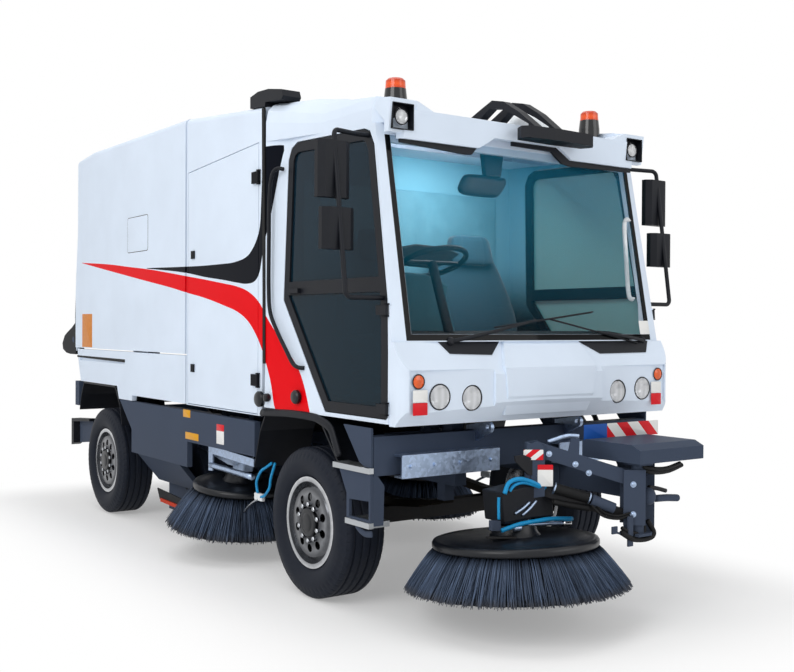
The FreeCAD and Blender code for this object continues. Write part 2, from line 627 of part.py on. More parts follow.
# door outline in side view: (x, z)
DOOR_OUTLINE = [(236, 1128), (-286, 1771), (-278, 2630), (-245, 2695), (-180, CAB_TOP - 16), (555, CAB_TOP - 46),
                (608, 2676), (655, 2600), (826, 1752), (845, 1480), (860, 1140), (848, 1128)]
DOOR_HINGE_X = 868.0           # hinge axis at the lower hinge
DOOR_HINGE_LOW = 1180.0
DOOR_HINGE_LEAN = -0.0468      # how fast the axis leans back with height
DOOR_HINGE_OFF = 14.0          # hinge axis proud of the skin
HINGE_PIN = 5.0
HINGE_KNUCKLE = 10.0
HINGE_HALF = 26.0              # half length of a hinge knuckle
HINGE_EAR = 9.0
# cab door hinges: height, how deep the fixed half sits in the pillar
DOOR_HINGES = ((1180.0, 3.0), (1700.0, 10.0))


def cab_half(z):
    """Half width of the cab skin at a height: the sides lean in towards the roof."""
    share = (z - CAB_BOTTOM) / (CAB_TOP - CAB_BOTTOM)
    return CAB_HALF_LOW + (CAB_HALF_HIGH - CAB_HALF_LOW) * share


def cab_core(inset, x0, x1, z0, z1):
    """Solid between the two leaning sides, set in by the inset."""
    low, high = cab_half(z0) - inset, cab_half(z1) - inset
    return prism_yz([(-low, z0), (low, z0), (high, z1), (-high, z1)], x0, x1)


def behind_screen(inset, z0, z1):
    """Everything behind the raked, bowed front of the cab, moved back by the inset."""
    def at(x, y):
        return Vector(x - inset + SCREEN_SLOPE * (z0 - SCREEN_BOTTOM), y, z0)
    corner = SCREEN_X_LOW
    side = corner - CORNER_DEPTH
    wide = CAB_HALF_LOW
    edges = [
        Part.makeLine(at(-1500, wide), at(-1500, -wide)),
        Part.makeLine(at(-1500, -wide), at(side, -wide)),
        Part.Arc(at(side, -wide), at(corner - 10, -(wide + SCREEN_HALF) / 2),
                 at(corner, -SCREEN_HALF)).toShape(),
        Part.Arc(at(corner, -SCREEN_HALF), at(corner + SCREEN_BULGE, 0),
                 at(corner, SCREEN_HALF)).toShape(),
        Part.Arc(at(corner, SCREEN_HALF), at(corner - 10, (wide + SCREEN_HALF) / 2),
                 at(side, wide)).toShape(),
        Part.makeLine(at(side, wide), at(-1500, wide)),
    ]
    face = Part.Face(Part.Wire(edges))
    return face.extrude(Vector(SCREEN_SLOPE * (z1 - z0), 0, z1 - z0))


def under_seam(drop, x0, x1):
    """Everything below the sloping seam between cab and roof, lowered by the drop."""
    return prism_xz([(x0, SEAM_REAR - drop), (SEAM_FRONT_X, SEAM_FRONT - drop), (x1, SEAM_FRONT - drop),
                     (x1, CAB_BOTTOM - 200), (x0, CAB_BOTTOM - 200)], -1200, 1200)


def rear_corner():
    """Filler that brings the leaning side out to the body's width behind the door (left-hand)."""
    low, high = 1300.0, SEAM_REAR
    x0, x1 = CAB_REAR, DOOR_OUTLINE[1][0] - GAP - 4
    sections = []
    for z, out in ((low, cab_half(low)), (high, BODY_HALF_WIDTH)):
        sections.append(polygon([Vector(x0, 900, z), Vector(x1, 900, z), Vector(x1, cab_half(z), z),
                                 Vector(x0, out, z)]))
    return Part.makeLoft(sections, True, True)


def outline_prism(points, grow, y0, y1):
    """Side-view outline grown or shrunk evenly, solid from y0 to y1."""
    wire = polygon([Vector(x, y0, z) for x, z in points])
    if grow:
        wire = wire.makeOffset2D(grow, 2)
    return Part.Face(wire).extrude(Vector(0, y1 - y0, 0))


def make_screen_glass():
    """Bowed windscreen between the screen's edges."""
    low, high = SCREEN_BOTTOM + GAP, SCREEN_TOP
    band = block(0, 1200, -SCREEN_HALF, SCREEN_HALF, low, high)
    outer = behind_screen(0, low - 1, high + 1)
    inner = behind_screen(SCREEN_GLASS, low - 1, high + 1)
    return band.common(outer).cut(inner)


def save_cab():
    """Hollow cab shell with door and screen openings, and the windscreen."""
    top, bottom = SEAM_REAR, CAB_BOTTOM
    upper = cab_core(0, CAB_REAR, 1200, SCREEN_BOTTOM, top).common(
        behind_screen(0, SCREEN_BOTTOM, top))
    corner = rear_corner()
    upper = upper.fuse(corner).fuse(mirrored(corner))
    lower = cab_core(0, CAB_REAR, CAB_LOW_FRONT, bottom, SCREEN_BOTTOM)
    cavity_low = bottom + FLOOR_WALL
    hollow_upper = cab_core(CAB_WALL, CAB_REAR + CAB_WALL, 1200, SCREEN_BOTTOM - 30, top).common(
        behind_screen(CAB_WALL, SCREEN_BOTTOM - 30, top))
    hollow_lower = cab_core(CAB_WALL, CAB_REAR + CAB_WALL, CAB_LOW_FRONT - CAB_WALL,
                            cavity_low, SCREEN_BOTTOM)
    shell = upper.fuse(lower).common(under_seam(0, CAB_REAR - 1, 1300)).cut(hollow_upper).cut(hollow_lower)
    rebate = block(0, 1300, -SCREEN_HALF - SEAT, SCREEN_HALF + SEAT,
                   SCREEN_BOTTOM + GAP - SEAT, SCREEN_TOP + SEAT)
    rebate = rebate.cut(behind_screen(SCREEN_GLASS + SEAT, SCREEN_BOTTOM - 1, SCREEN_TOP + 1))
    shell = shell.cut(rebate)
    shell = shell.cut(block(550, 1300, -SCREEN_HALF + SCREEN_LEDGE, SCREEN_HALF - SCREEN_LEDGE,
                            SCREEN_BOTTOM + SCREEN_LEDGE, SCREEN_TOP - SCREEN_LEDGE))
    for side in (-1, 1):
        y0, y1 = sorted((side * 800, side * 1200))
        shell = shell.cut(outline_prism(DOOR_OUTLINE, GAP, y0, y1))
    # rear window
    shell = shell.cut(block(CAB_REAR - 1, CAB_REAR + CAB_WALL + 1, -430, 430, 2050, 2500))
    for z, sink in DOOR_HINGES:
        fixed = door_hinge(z, sink)[0]
        shell = shell.fuse(fixed).fuse(mirrored(fixed))
    save("cab_shell", shell.removeSplitter())
    save("windscreen", make_screen_glass())


MIRROR_REACH = BODY_HALF_WIDTH + 221


def door_edge(z):
    """Station of the door's front edge between its two front corners."""
    return front_line(z, DOOR_OUTLINE[7:11])


def front_line(z, line):
    """Station at a height on a line of (x, z) points that runs downwards."""
    for (x0, z0), (x1, z1) in zip(line, line[1:]):
        if z >= z1:
            return x0 + (x1 - x0) * (z - z0) / (z1 - z0)
    return line[-1][0]


def hinge(centre, axis, reach, edge, skin, sink, half):
    """Hinge as (fixed ears with pin, moving leaf with knuckle), door side towards -X.

    The leaf starts at reach, the panel ends at edge, and sink is how deep the ears sit.
    """
    x, y, z = centre
    along = Vector(*axis).normalize()
    middle = Vector(x, y, z)
    outer = y + HINGE_KNUCKLE - 2
    ears = []
    for low, high in ((-half - 1 - HINGE_EAR, -half - 1), (half + 1, half + 1 + HINGE_EAR)):
        ears.append(block(edge + GAP + 1, x + HINGE_KNUCKLE, skin - sink, outer, z + low, z + high))
    pin = bar(middle - along * (half + HINGE_EAR), middle + along * (half + HINGE_EAR), HINGE_PIN)
    knuckle = bar(middle - along * half, middle + along * half, HINGE_KNUCKLE)
    bore = bar(middle - along * (half + 5), middle + along * (half + 5), HINGE_PIN + RUN)
    leaf = prism_xy([(reach, skin - 4), (edge - 5, skin - 4), (edge - 5, skin + 3), (x, skin + 3), (x, outer),
                     (reach, outer)], z - half, z + half)
    return union(pin, *ears), union(leaf, knuckle).cut(bore)


def door_hinge(z, sink):
    """Cab door hinge at a height; the axis leans with the door's side and front edge."""
    lean = (CAB_HALF_HIGH - CAB_HALF_LOW) / (CAB_TOP - CAB_BOTTOM)
    x = DOOR_HINGE_X + DOOR_HINGE_LEAN * (z - DOOR_HINGE_LOW)
    skin = cab_half(z)
    return hinge((x, skin + DOOR_HINGE_OFF, z), (DOOR_HINGE_LEAN, lean, 1), door_edge(z) - 75,
                 door_edge(z), skin, sink, HINGE_HALF)


def make_door():
    """Left-hand door frame with two window openings, handle and hinge blocks; and its panes."""
    z0, z1 = CAB_BOTTOM, CAB_TOP
    slab = cab_core(0, -400, 900, z0, z1).cut(cab_core(CAB_WALL, -401, 901, z0, z1))
    half = slab.common(block(-400, 900, 700, 1200, z0, z1))
    frame = half.common(outline_prism(DOOR_OUTLINE, 0, 700, 1200))
    inner = outline_prism(DOOR_OUTLINE, -DOOR_FRAME, 700, 1200)
    upper = inner.common(block(-400, 900, 700, 1200, MID_BAR_HIGH, z1))
    lower = inner.common(block(-400, 900, 700, 1200, z0, MID_BAR_LOW))
    frame = frame.cut(upper).cut(lower)
    sheet = cab_core(PANE_DEPTH, -400, 900, z0, z1).cut(
        cab_core(PANE_DEPTH + PANE_THICKNESS, -401, 901, z0, z1))
    panes = []
    for opening, low, high in ((inner, MID_BAR_HIGH + SEAT, z1), (inner, z0, MID_BAR_LOW - SEAT)):
        shrunk = outline_prism(DOOR_OUTLINE, -DOOR_FRAME - SEAT, 700, 1200)
        panes.append(sheet.common(shrunk).common(block(-400, 900, 700, 1200, low, high)))
    skin = cab_half(MID_BAR_LOW)
    handle = block(-215, -85, skin - 4, skin + 22, MID_BAR_LOW + 10, MID_BAR_LOW + 38)
    leaves = [door_hinge(z, sink)[1] for z, sink in DOOR_HINGES]
    return union(frame, handle, *leaves), Part.makeCompound(panes)


# mirror heads on each arm: bottom, top, half width
MIRROR_HEADS = ((2290.0, 2590.0, 98.0), (2015.0, 2235.0, 98.0))
MIRROR_ARM_RADIUS = 13.0


def make_mirror():
    """Left-hand mirror: tubular arm off the door's front edge with two heads."""
    reach = MIRROR_REACH
    top_y = cab_half(2655 - MIRROR_ARM_RADIUS) + SEAT
    low_y = cab_half(1765 - MIRROR_ARM_RADIUS) + SEAT
    pieces = [tube([(600, top_y, 2655), (600, top_y + 80, 2655), (665, reach, 2650),
                    (790, reach, 1765), (790, low_y, 1765)], MIRROR_ARM_RADIUS, 35)]
    for low, high, half in MIRROR_HEADS:
        middle = (low + high) / 2
        x = 665 + (2650 - middle) * (790 - 665) / (2650 - 1765)
        # plan section, glass side towards the rear: (x, y)
        section = [(x - 62, reach - half), (x - 62, reach + half), (x - 30, reach + half),
                   (x - 4, reach + half - 35), (x - 4, reach - half + 35), (x - 30, reach - half)]
        pieces.append(prism_xy(section, low, high))
    return union(*pieces)


def save_doors():
    """Both cab doors: frame, panes and mirror for each side."""
    frame, panes = make_door()
    mirror = make_mirror()
    for side, flip in (("left", False), ("right", True)):
        for name, piece in (("door_", frame), ("door_glass_", panes), ("mirror_", mirror)):
            save(name + side, mirrored(piece) if flip else piece.copy())


# ---- cab roof and front panel ----------------------------------------------
VISOR_FRONT = 800.0
VISOR_WALL = 38.0
VISOR_LOW = CAB_TOP - 115
VISOR_TOP = CAB_TOP + 44
VISOR_NOTCH_TOP = CAB_TOP - 48
NOTCH_TOP_HALF = 250.0
NOTCH_LOW_HALF = 365.0
POD_RISE = 690.0               # half widths of the lamp pods: where their tops start to rise,
POD_INNER = 812.0              # their inner and their outer side
POD_OUTER = CAB_HALF_HIGH - 5
POD_LOW = CAB_TOP - 85
POD_HIGH = CAB_TOP + 92
POD_FRONT = 800.0
ROOF_HALF = CAB_HALF_HIGH - 120

# roof lines in side view, rear to front: (x, z) along the middle and along the shoulders
ROOF_MIDDLE = ((CAB_REAR, ROOF_REAR_Z), (-60, CAB_TOP + 240), (300, CAB_TOP + 172), (560, CAB_TOP + 98),
               (740, CAB_TOP + 60))
ROOF_SHOULDER = ((CAB_REAR, ROOF_REAR_Z + 8), (0, CAB_TOP + 214), (310, CAB_TOP + 160),
                 (550, CAB_TOP + 133), (670, CAB_TOP + 119))
SHOULDER_INNER = 845.0
# roof in front view at its rear edge and from the doors' middle forward: (out of the skin, z)
ROOF_REAR_SECTION = ((0, VISOR_LOW - 10), (0, CAB_TOP + 150), (14, CAB_TOP + 225), (50, CAB_TOP + 262),
                     (134, CAB_TOP + 300))
ROOF_FRONT_SECTION = ((0, VISOR_LOW - 10), (0, CAB_TOP + 60), (12, CAB_TOP + 115), (48, CAB_TOP + 175),
                      (134, CAB_TOP + 260))
ROOF_TAPER_END = 100.0


def roof_height(x):
    """Height of the roof's middle at a station."""
    for (x0, z0), (x1, z1) in zip(ROOF_MIDDLE, ROOF_MIDDLE[1:]):
        if x <= x1:
            return z0 + (z1 - z0) * (x - x0) / (x1 - x0)
    return ROOF_MIDDLE[-1][1]


def roof_envelope(inset):
    """Outside of the roof cap, tapering in plan from the body's width to the cab's, set in."""
    def section(x, half, points):
        side = [(half - out - inset, z - inset) for out, z in points]
        ring = side + [(-y, z) for y, z in reversed(side)]
        return polygon([Vector(x, y, z) for y, z in ring])
    rear = section(CAB_REAR, BODY_HALF_WIDTH, ROOF_REAR_SECTION)
    middle = section(ROOF_TAPER_END, CAB_HALF_HIGH, ROOF_FRONT_SECTION)
    front = section(VISOR_FRONT + 200, CAB_HALF_HIGH, ROOF_FRONT_SECTION)
    taper = Part.makeLoft([rear, middle], True, True)
    straight = Part.makeLoft([middle.copy(), front], True, True)
    return taper.fuse(straight)


def save_roof():
    """Moulded roof cap: stepped visor lip, raised shoulders with lamp pods, hollow underneath."""
    lip = [(VISOR_FRONT, VISOR_TOP), (VISOR_FRONT - 15, VISOR_LOW),
           (VISOR_FRONT - 15 - VISOR_WALL, VISOR_LOW),
           (VISOR_FRONT - 15 - VISOR_WALL, SEAM_FRONT + SEAT), (SEAM_FRONT_X, SEAM_FRONT + SEAT),
           (CAB_REAR, SEAM_REAR + SEAT)]
    half = BODY_HALF_WIDTH
    roof = prism_xz(list(ROOF_MIDDLE) + lip, -half, half)
    for low, high in ((SHOULDER_INNER, half), (-half, -SHOULDER_INNER)):
        roof = roof.fuse(prism_xz(list(ROOF_SHOULDER) + lip, low, high))
    roof = roof.common(roof_envelope(0))
    corner = prism_xy([(620, POD_OUTER + 10), (VISOR_FRONT + 5, POD_OUTER + 10),
                       (VISOR_FRONT + 5, POD_OUTER - 110)], VISOR_LOW - 20, ROOF_REAR_Z + 100)
    roof = roof.cut(corner).cut(mirrored(corner))
    wall = ROOF_WALL
    under = [(max(x, CAB_REAR + wall), z - wall) for x, z in ROOF_MIDDLE[:-1]]
    inner_side = under + [(690, ROOF_MIDDLE[-1][1] - wall), (690, SEAM_FRONT - 1), (SEAM_FRONT_X, SEAM_FRONT - 1),
                          (CAB_REAR + wall, SEAM_REAR - 1)]
    roof = roof.cut(prism_xz(inner_side, -half, half).common(roof_envelope(wall)))
    notch = prism_yz([(-NOTCH_LOW_HALF, VISOR_LOW - 1), (NOTCH_LOW_HALF, VISOR_LOW - 1),
                      (NOTCH_TOP_HALF, VISOR_NOTCH_TOP), (-NOTCH_TOP_HALF, VISOR_NOTCH_TOP)],
                     VISOR_FRONT - 100, VISOR_FRONT + 10)
    roof = roof.cut(notch)
    middle = SEAM_FRONT + SEAT
    for sign in (1, -1):
        pod = prism_xz([(640, POD_HIGH - 30), (660, POD_HIGH + 20), (POD_FRONT, POD_HIGH), (POD_FRONT - 22, POD_LOW),
                        (740, POD_LOW), (740, middle)], POD_INNER, POD_OUTER)
        fillet = prism_yz([(POD_RISE, VISOR_TOP - 20), (POD_RISE, VISOR_TOP - 2), (POD_INNER - 15, POD_HIGH - 4),
                           (POD_INNER + 1, POD_HIGH), (POD_INNER + 1, VISOR_TOP - 20)], 650, POD_FRONT - 1)
        recess = prism_xz([(POD_FRONT - 60, POD_HIGH - 22), (POD_FRONT + 10, POD_HIGH - 22),
                           (POD_FRONT + 10, POD_LOW + 14), (POD_FRONT - 50, POD_LOW + 14)],
                          POD_INNER + 18, POD_OUTER - 14)
        if sign < 0:
            pod, fillet, recess = mirrored(pod), mirrored(fillet), mirrored(recess)
        roof = roof.fuse(pod).fuse(fillet).cut(recess)
    save("roof_cap", roof.removeSplitter())


PANEL_LOW = 1090.0
PANEL_FRONT_X = 985.0
PANEL_BULGE = 22.0
PANEL_SHELL = 45.0
NOSE_HALF_LOW = 350.0
NOSE_HALF_TOP = 292.0
NOSE_FRONT = 1012.0
LAMP_LOW = 1150.0
LAMP_HIGH = 1385.0
LAMP_DEPTH = 14.0
# front lamps: y, z, radius
HEADLAMPS = ((783.0, 1242.0, 71.0), (565.0, 1230.0, 71.0))
INDICATOR = (924.0, 1326.0, 41.0)


def front_plan(setback, z0, z1):
    """Plan shape of the front panel: bowed front, rounded corners."""
    wide = CAB_HALF_LOW - 6
    x = PANEL_FRONT_X - setback

    def at(px, py):
        return Vector(px, py, z0)
    edges = [
        Part.makeLine(at(CAB_LOW_FRONT + SEAT, wide), at(CAB_LOW_FRONT + SEAT, -wide)),
        Part.makeLine(at(CAB_LOW_FRONT + SEAT, -wide), at(x - 70, -wide)),
        Part.Arc(at(x - 70, -wide), at(x - 18, -(wide - 20)), at(x, -(wide - 75))).toShape(),
        Part.Arc(at(x, -(wide - 75)), at(x + PANEL_BULGE, 0), at(x, wide - 75)).toShape(),
        Part.Arc(at(x, wide - 75), at(x - 18, wide - 20), at(x - 70, wide)).toShape(),
        Part.makeLine(at(x - 70, wide), at(CAB_LOW_FRONT + SEAT, wide)),
    ]
    return Part.Face(Part.Wire(edges)).extrude(Vector(0, 0, z1 - z0))


def save_front_panel():
    """White panel under the screen with a raised nose and recessed lamp fields."""
    x = PANEL_FRONT_X
    rear = CAB_LOW_FRONT + SEAT
    profile = [(rear, PANEL_LOW), (x - 62, PANEL_LOW), (x + 30, 1215), (x + 30, 1335), (x - 78, SCREEN_BOTTOM - SEAT),
               (rear, SCREEN_BOTTOM - SEAT)]
    panel = prism_xz(profile, -CAB_HALF_LOW, CAB_HALF_LOW).common(front_plan(0, PANEL_LOW - 1, SCREEN_BOTTOM + 1))
    # nose in side view, and its flanks in front view
    nose = prism_xz([(rear + 20, 1125), (NOSE_FRONT - 48, 1125), (NOSE_FRONT, 1230), (NOSE_FRONT, 1390),
                     (x - 62, SCREEN_BOTTOM - SEAT), (rear + 20, SCREEN_BOTTOM - SEAT)],
                    -NOSE_HALF_LOW, NOSE_HALF_LOW)
    flanks = prism_yz([(-NOSE_HALF_LOW + 30, 1125), (NOSE_HALF_LOW - 30, 1125), (NOSE_HALF_LOW, 1400),
                       (NOSE_HALF_TOP, SCREEN_BOTTOM), (-NOSE_HALF_TOP, SCREEN_BOTTOM),
                       (-NOSE_HALF_LOW, 1400)], rear, NOSE_FRONT + 10)
    panel = panel.fuse(nose.common(flanks))
    hollow = prism_xz([(rear - 1, PANEL_LOW + 40), (x - 95, PANEL_LOW + 40), (x - 30, 1225), (x - 30, 1330),
                       (x - 110, 1450), (rear - 1, 1450)], -980, 980)
    panel = panel.cut(hollow)
    for sign in (1, -1):
        y0, y1 = sorted((sign * 415, sign * 985))
        field = block(x - LAMP_DEPTH, x + 60, y0, y1, LAMP_LOW, LAMP_HIGH)
        field = field.common(front_plan(-60, LAMP_LOW - 1, LAMP_HIGH + 1)).cut(
            front_plan(LAMP_DEPTH, LAMP_LOW - 2, LAMP_HIGH + 2))
        panel = panel.cut(field)
    for y, z, radius in HEADLAMPS + (INDICATOR,):
        hole = cylinder((x - 90, y, z), (1, 0, 0), radius + SEAT, 150)
        panel = panel.cut(hole).cut(mirrored(hole))
    save("front_panel", panel.removeSplitter())


BEACON_X = 532.0
BEACON_Y = 766.0
BEACON_TOP = CAB_TOP + 266
# beacon turning section: (radius, depth below its top)
BEACON_SECTION = ((0, 250), (70, 250), (66, 112), (60, 58), (58, 50), (56, 12), (44, 0), (0, 0))
REAR_LAMPS = ((930.0, 60.0), (790.0, 60.0))


def lamp(x, y, z, radius, depth, dome):
    """Round lamp facing forward with a shallow domed lens."""
    body = cylinder((x - depth, y, z), (1, 0, 0), radius, depth)
    cone = Part.makeCone(radius - 2, radius * 0.55, dome, Vector(x, y, z), Vector(1, 0, 0))
    return body.fuse(cone).removeSplitter()


def save_lamps():
    """Head lamps, indicators, pod lamps and tail lamps, and the two beacons."""
    lamps = []
    for y, z, radius in HEADLAMPS + (INDICATOR,):
        lamps.append(lamp(PANEL_FRONT_X - 6, y, z, radius, 45, 9))
    lamps.append(lamp(POD_FRONT - 23, (POD_INNER + POD_OUTER) / 2, (POD_LOW + POD_HIGH) / 2 - 4, 46, 28, 10))
    for y, half in REAR_LAMPS:
        lamps.append(block(TAIL_REAR - 28 - SEAT, TAIL_REAR - SEAT, y - half, y + half,
                           TAIL_BOTTOM + 60, TAIL_TOP - 60))
    save("lamps", Part.makeCompound(lamps + [mirrored(piece) for piece in lamps]))
    beacon = revolve_about_z([(r, -depth) for r, depth in BEACON_SECTION], (BEACON_X, BEACON_Y, BEACON_TOP))
    seat = [(x, z + SEAT) for x, z in ROOF_MIDDLE] + [(740, CAB_TOP - 240), (CAB_REAR, CAB_TOP - 240)]
    save("beacons", both_sides(beacon.cut(prism_xz(seat, 0, 1000))))


# roof mirror arms: middle of each, height of its arch above the cab's top
ROOF_ARMS = ((0.0, 245.0), (160.0, 252.0))
ROOF_ARM_HALF = 30.0
ROOF_MIRROR_LOW = CAB_TOP - 50
ROOF_MIRROR_HIGH = CAB_TOP + 18


def save_roof_mirror():
    """Two arched arms on the roof that carry the wide-angle mirror ahead of the screen."""
    feet = [(x, roof_height(x) + SEAT) for x in (302, 385)]
    pieces = []
    for y, arch in ROOF_ARMS:
        top = CAB_TOP + arch
        pieces.append(prism_xz([feet[0], (410, top - 32), (500, top), (600, top - 22), (740, top - 105),
                                (900, ROOF_MIRROR_HIGH + 4), (900, ROOF_MIRROR_HIGH - 30),
                                (835, ROOF_MIRROR_HIGH - 18), (828, CAB_TOP + 55), (710, top - 125), (590, top - 64),
                                (480, top - 46), feet[1]], y - ROOF_ARM_HALF, y + ROOF_ARM_HALF))
    pieces.append(prism_xy([(835, -120), (900, -150), (945, -120), (960, 100), (945, 380), (900, 420), (835, 390),
                            (820, 130)], ROOF_MIRROR_LOW, ROOF_MIRROR_HIGH))
    save("roof_mirror", union(*pieces))


# upper side of the air intake: (x, z above the service section's front edge)
INTAKE_TOP = ((-540, 28), (-332, 9), (-312, 30), (-330, 72), (-500, 104), (-640, 110), (-745, 92))
INTAKE_INNER = 890.0
INTAKE_OUTER = 1020.0


def save_intake():
    """Wedge-shaped air intake on the service section's roof, reaching over the cab."""
    slope = (BODY_TOP - 5 - BAY_FRONT_Z) / (BAY_FRONT - BAY_REAR)
    foot = [(x, BAY_FRONT_Z + (BAY_FRONT - x) * slope + SEAT) for x in (INTAKE_TOP[-1][0], BAY_FRONT - 5)]
    top = [(x, BAY_FRONT_Z + z) for x, z in INTAKE_TOP]
    save("roof_intake", prism_xz(foot + top, -INTAKE_OUTER, -INTAKE_INNER))


STEERING_HUB = (450.0, -440.0, 1990.0)
STEERING_RAKE = 22.0               # of the column from upright, degrees
STEERING_RADIUS = 205.0
STEERING_GRIP = 16.0


def save_interior():
    """Seats, dashboard, steering column and wheel, seen through the glass."""
    seats = []
    floor = CAB_BOTTOM + FLOOR_WALL + SEAT
    for y in (-430.0, 430.0):
        base = block(-230, 150, y - 160, y + 160, floor, 1440)
        cushion = block(-260, 230, y - 240, y + 240, 1440, 1570)
        back = prism_xz([(-250, 1560), (-120, 1560), (-205, 2060), (-310, 2060)], y - 225, y + 225)
        rest = prism_xz([(-308, 2060), (-216, 2060), (-235, 2225), (-315, 2225)], y - 130, y + 130)
        seats.append(union(base, cushion, back, rest))
    save("seats", Part.makeCompound(seats))
    dash = prism_xz([(CAB_LOW_FRONT - CAB_WALL - SEAT, floor), (CAB_LOW_FRONT - CAB_WALL - SEAT, 1500),
                     (790, 1560), (560, 1590), (530, 1480), (700, 1350), (700, floor)], -930, 930)
    save("dashboard", dash)
    x, y, z = STEERING_HUB
    rake = Vector(math.sin(math.radians(STEERING_RAKE)), 0, -math.cos(math.radians(STEERING_RAKE)))
    wheel = Part.makeTorus(STEERING_RADIUS, STEERING_GRIP, Vector(x, y, z), rake)
    spokes = [bar((x, y - s * (STEERING_RADIUS - 5), z), (x, y, z), 12) for s in (-1, 1)]
    length = (z - 1575 - SEAT) / math.cos(math.radians(STEERING_RAKE))
    column = bar((x + rake.x * length, y, z + rake.z * length), (x, y, z), 28)
    column = column.cut(prism_xz([(790, 1560 + SEAT), (560, 1590 + SEAT), (560, 1400), (790, 1400)], y - 60, y + 60))
    save("steering_wheel", union(column, wheel, *spokes))


# ---- service section -------------------------------------------------------
DOOR_LINE_REAR = BODY_TOP - 405   # top edge of the service door at its rear and front
DOOR_LINE_FRONT = BODY_TOP - 335
BAY_HINGE_X = -575.0
BAY_HINGE_OFF = 12.0
BAY_HINGE_HALF = 37.0
BAY_HINGES = (BAY_BOTTOM + 226, DOOR_LINE_REAR - 148)
BAY_LATCHES = (BAY_BOTTOM + 268, BODY_TOP - 995)
BAY_DOOR_WALL = 40.0


def bay_door_outline(grow):
    """Side outline of the service door, grown by a gap."""
    return [(BAY_REAR + 25 - grow, BAY_BOTTOM + 12 - grow), (-600 + grow, BAY_BOTTOM + 12 - grow),
            (-600 + grow, DOOR_LINE_FRONT + grow), (BAY_REAR + 25 - grow, DOOR_LINE_REAR + grow)]


def save_bay():
    """Service section: roof, end walls and floor round two side openings, and its doors."""
    wide = BODY_HALF_WIDTH
    outline = [(BAY_REAR, BAY_BOTTOM), (BAY_FRONT, BAY_BOTTOM), (BAY_FRONT, BAY_FRONT_Z),
               (BAY_REAR, BODY_TOP - 5)]
    shell = prism_xz(outline, -wide, wide)
    long_edges = [edge for edge in shell.Edges
                  if abs(edge.CenterOfMass.z) > BAY_FRONT_Z and abs(edge.CenterOfMass.y) > wide - 1]
    shell = shell.makeFillet(45, long_edges)
    wall = BAY_WALL
    hollow = prism_xz([(BAY_REAR + wall, BAY_BOTTOM + 30), (BAY_FRONT - wall, BAY_BOTTOM + 30),
                       (BAY_FRONT - wall, BAY_FRONT_Z - wall), (BAY_REAR + wall, BODY_TOP - 5 - wall)],
                      -wide + wall, wide - wall)
    shell = shell.cut(hollow)
    well = block(-1530, -690, -RAIL_Y + RAIL_WIDTH / 2, RAIL_Y - RAIL_WIDTH / 2,
                 BAY_BOTTOM - 1, BAY_BOTTOM + 31)
    shell = shell.cut(well)
    opening = prism_xz(bay_door_outline(GAP), wide - BAY_DOOR_WALL - 2, wide + 50)
    shell = shell.cut(opening).cut(mirrored(opening))
    edge = bay_door_outline(0)[1][0]
    parts = [hinge((BAY_HINGE_X, wide + BAY_HINGE_OFF, z), (0, 0, 1), edge - 60, edge, wide, 5,
                   BAY_HINGE_HALF) for z in BAY_HINGES]
    fixed = [ears for ears, leaf in parts]
    shell = union(shell, *fixed, *[mirrored(ears) for ears in fixed])
    save("service_bay", shell)
    door = prism_xz(bay_door_outline(0), wide - BAY_DOOR_WALL, wide)
    latches = [block(-1610, -1555, wide - 2, wide + 10, z - 28, z + 28) for z in BAY_LATCHES]
    door = union(door, *latches, *[leaf for ears, leaf in parts])
    save("service_door_left", door.copy())
    save("service_door_right", mirrored(door))


# ---- hopper ----------------------------------------------------------------
RAM_EYE_X = -3600.0
RAM_EYE_Z = 1345.0
RAM_LUG = 38.0                 # inner face of the hopper's lug, out of the cylinder's middle
RAM_ROD_RADIUS = 32.0
GATE_LOW = 1462.0
GATE_HIGH = BODY_TOP - 62
GATE_HINGE_X = HOPPER_REAR - 25
GATE_HINGE_Z = GATE_HIGH + 22
GATE_PIN_RADIUS = 8.0
GATE_KNUCKLE = 16.0
GATE_HINGES = (-700.0, 0.0, 700.0)
# rear edge of the hopper, top to bottom: (behind its top corner, z)
HOPPER_REAR_LINE = ((5, 2430), (50, 2070), (80, 1690), (70, HOPPER_BOTTOM))
# ear for the tipping pin in side view: (from the pin, from the pin)
EAR_OUTLINE = ((62, -135), (110, -68), (110, 170), (80, 167), (-41, 110), (-180, 62), (-250, 33), (-EAR_REACH, -39),
               (-296, -93), (-200, -125), (-93, -135))


def rear_line(back, low, high):
    """Points of the hopper's rear edge between two heights, top to bottom, moved back."""
    line = [(HOPPER_REAR, BODY_TOP)] + [(HOPPER_REAR - x, z) for x, z in HOPPER_REAR_LINE]
    ends = [(front_line(high, line), high), (front_line(low, line), low)]
    inside = [point for point in line if low < point[1] < high]
    return [(x - back, z) for x, z in ends[:1] + inside + ends[1:]]


def gate_hinge(y):
    """Gate hinge as (ears and pin on the hopper, knuckle and strap on the gate)."""
    x, z = GATE_HINGE_X, GATE_HINGE_Z
    ears = [block(x - 14, HOPPER_REAR + 4, y + low, y + low + 10, z - 13, z + 13) for low in (-42, 32)]
    pin = cylinder((x, y - 42, z), (0, 1, 0), GATE_PIN_RADIUS, 84)
    knuckle = cylinder((x, y - 31, z), (0, 1, 0), GATE_KNUCKLE, 62)
    strap = block(x - 14, x - 2, y - 31, y + 31, GATE_HIGH - 5, z)
    bore = cylinder((x, y - 40, z), (0, 1, 0), GATE_PIN_RADIUS + RUN, 80)
    return union(pin, *ears), union(knuckle, strap).cut(bore)


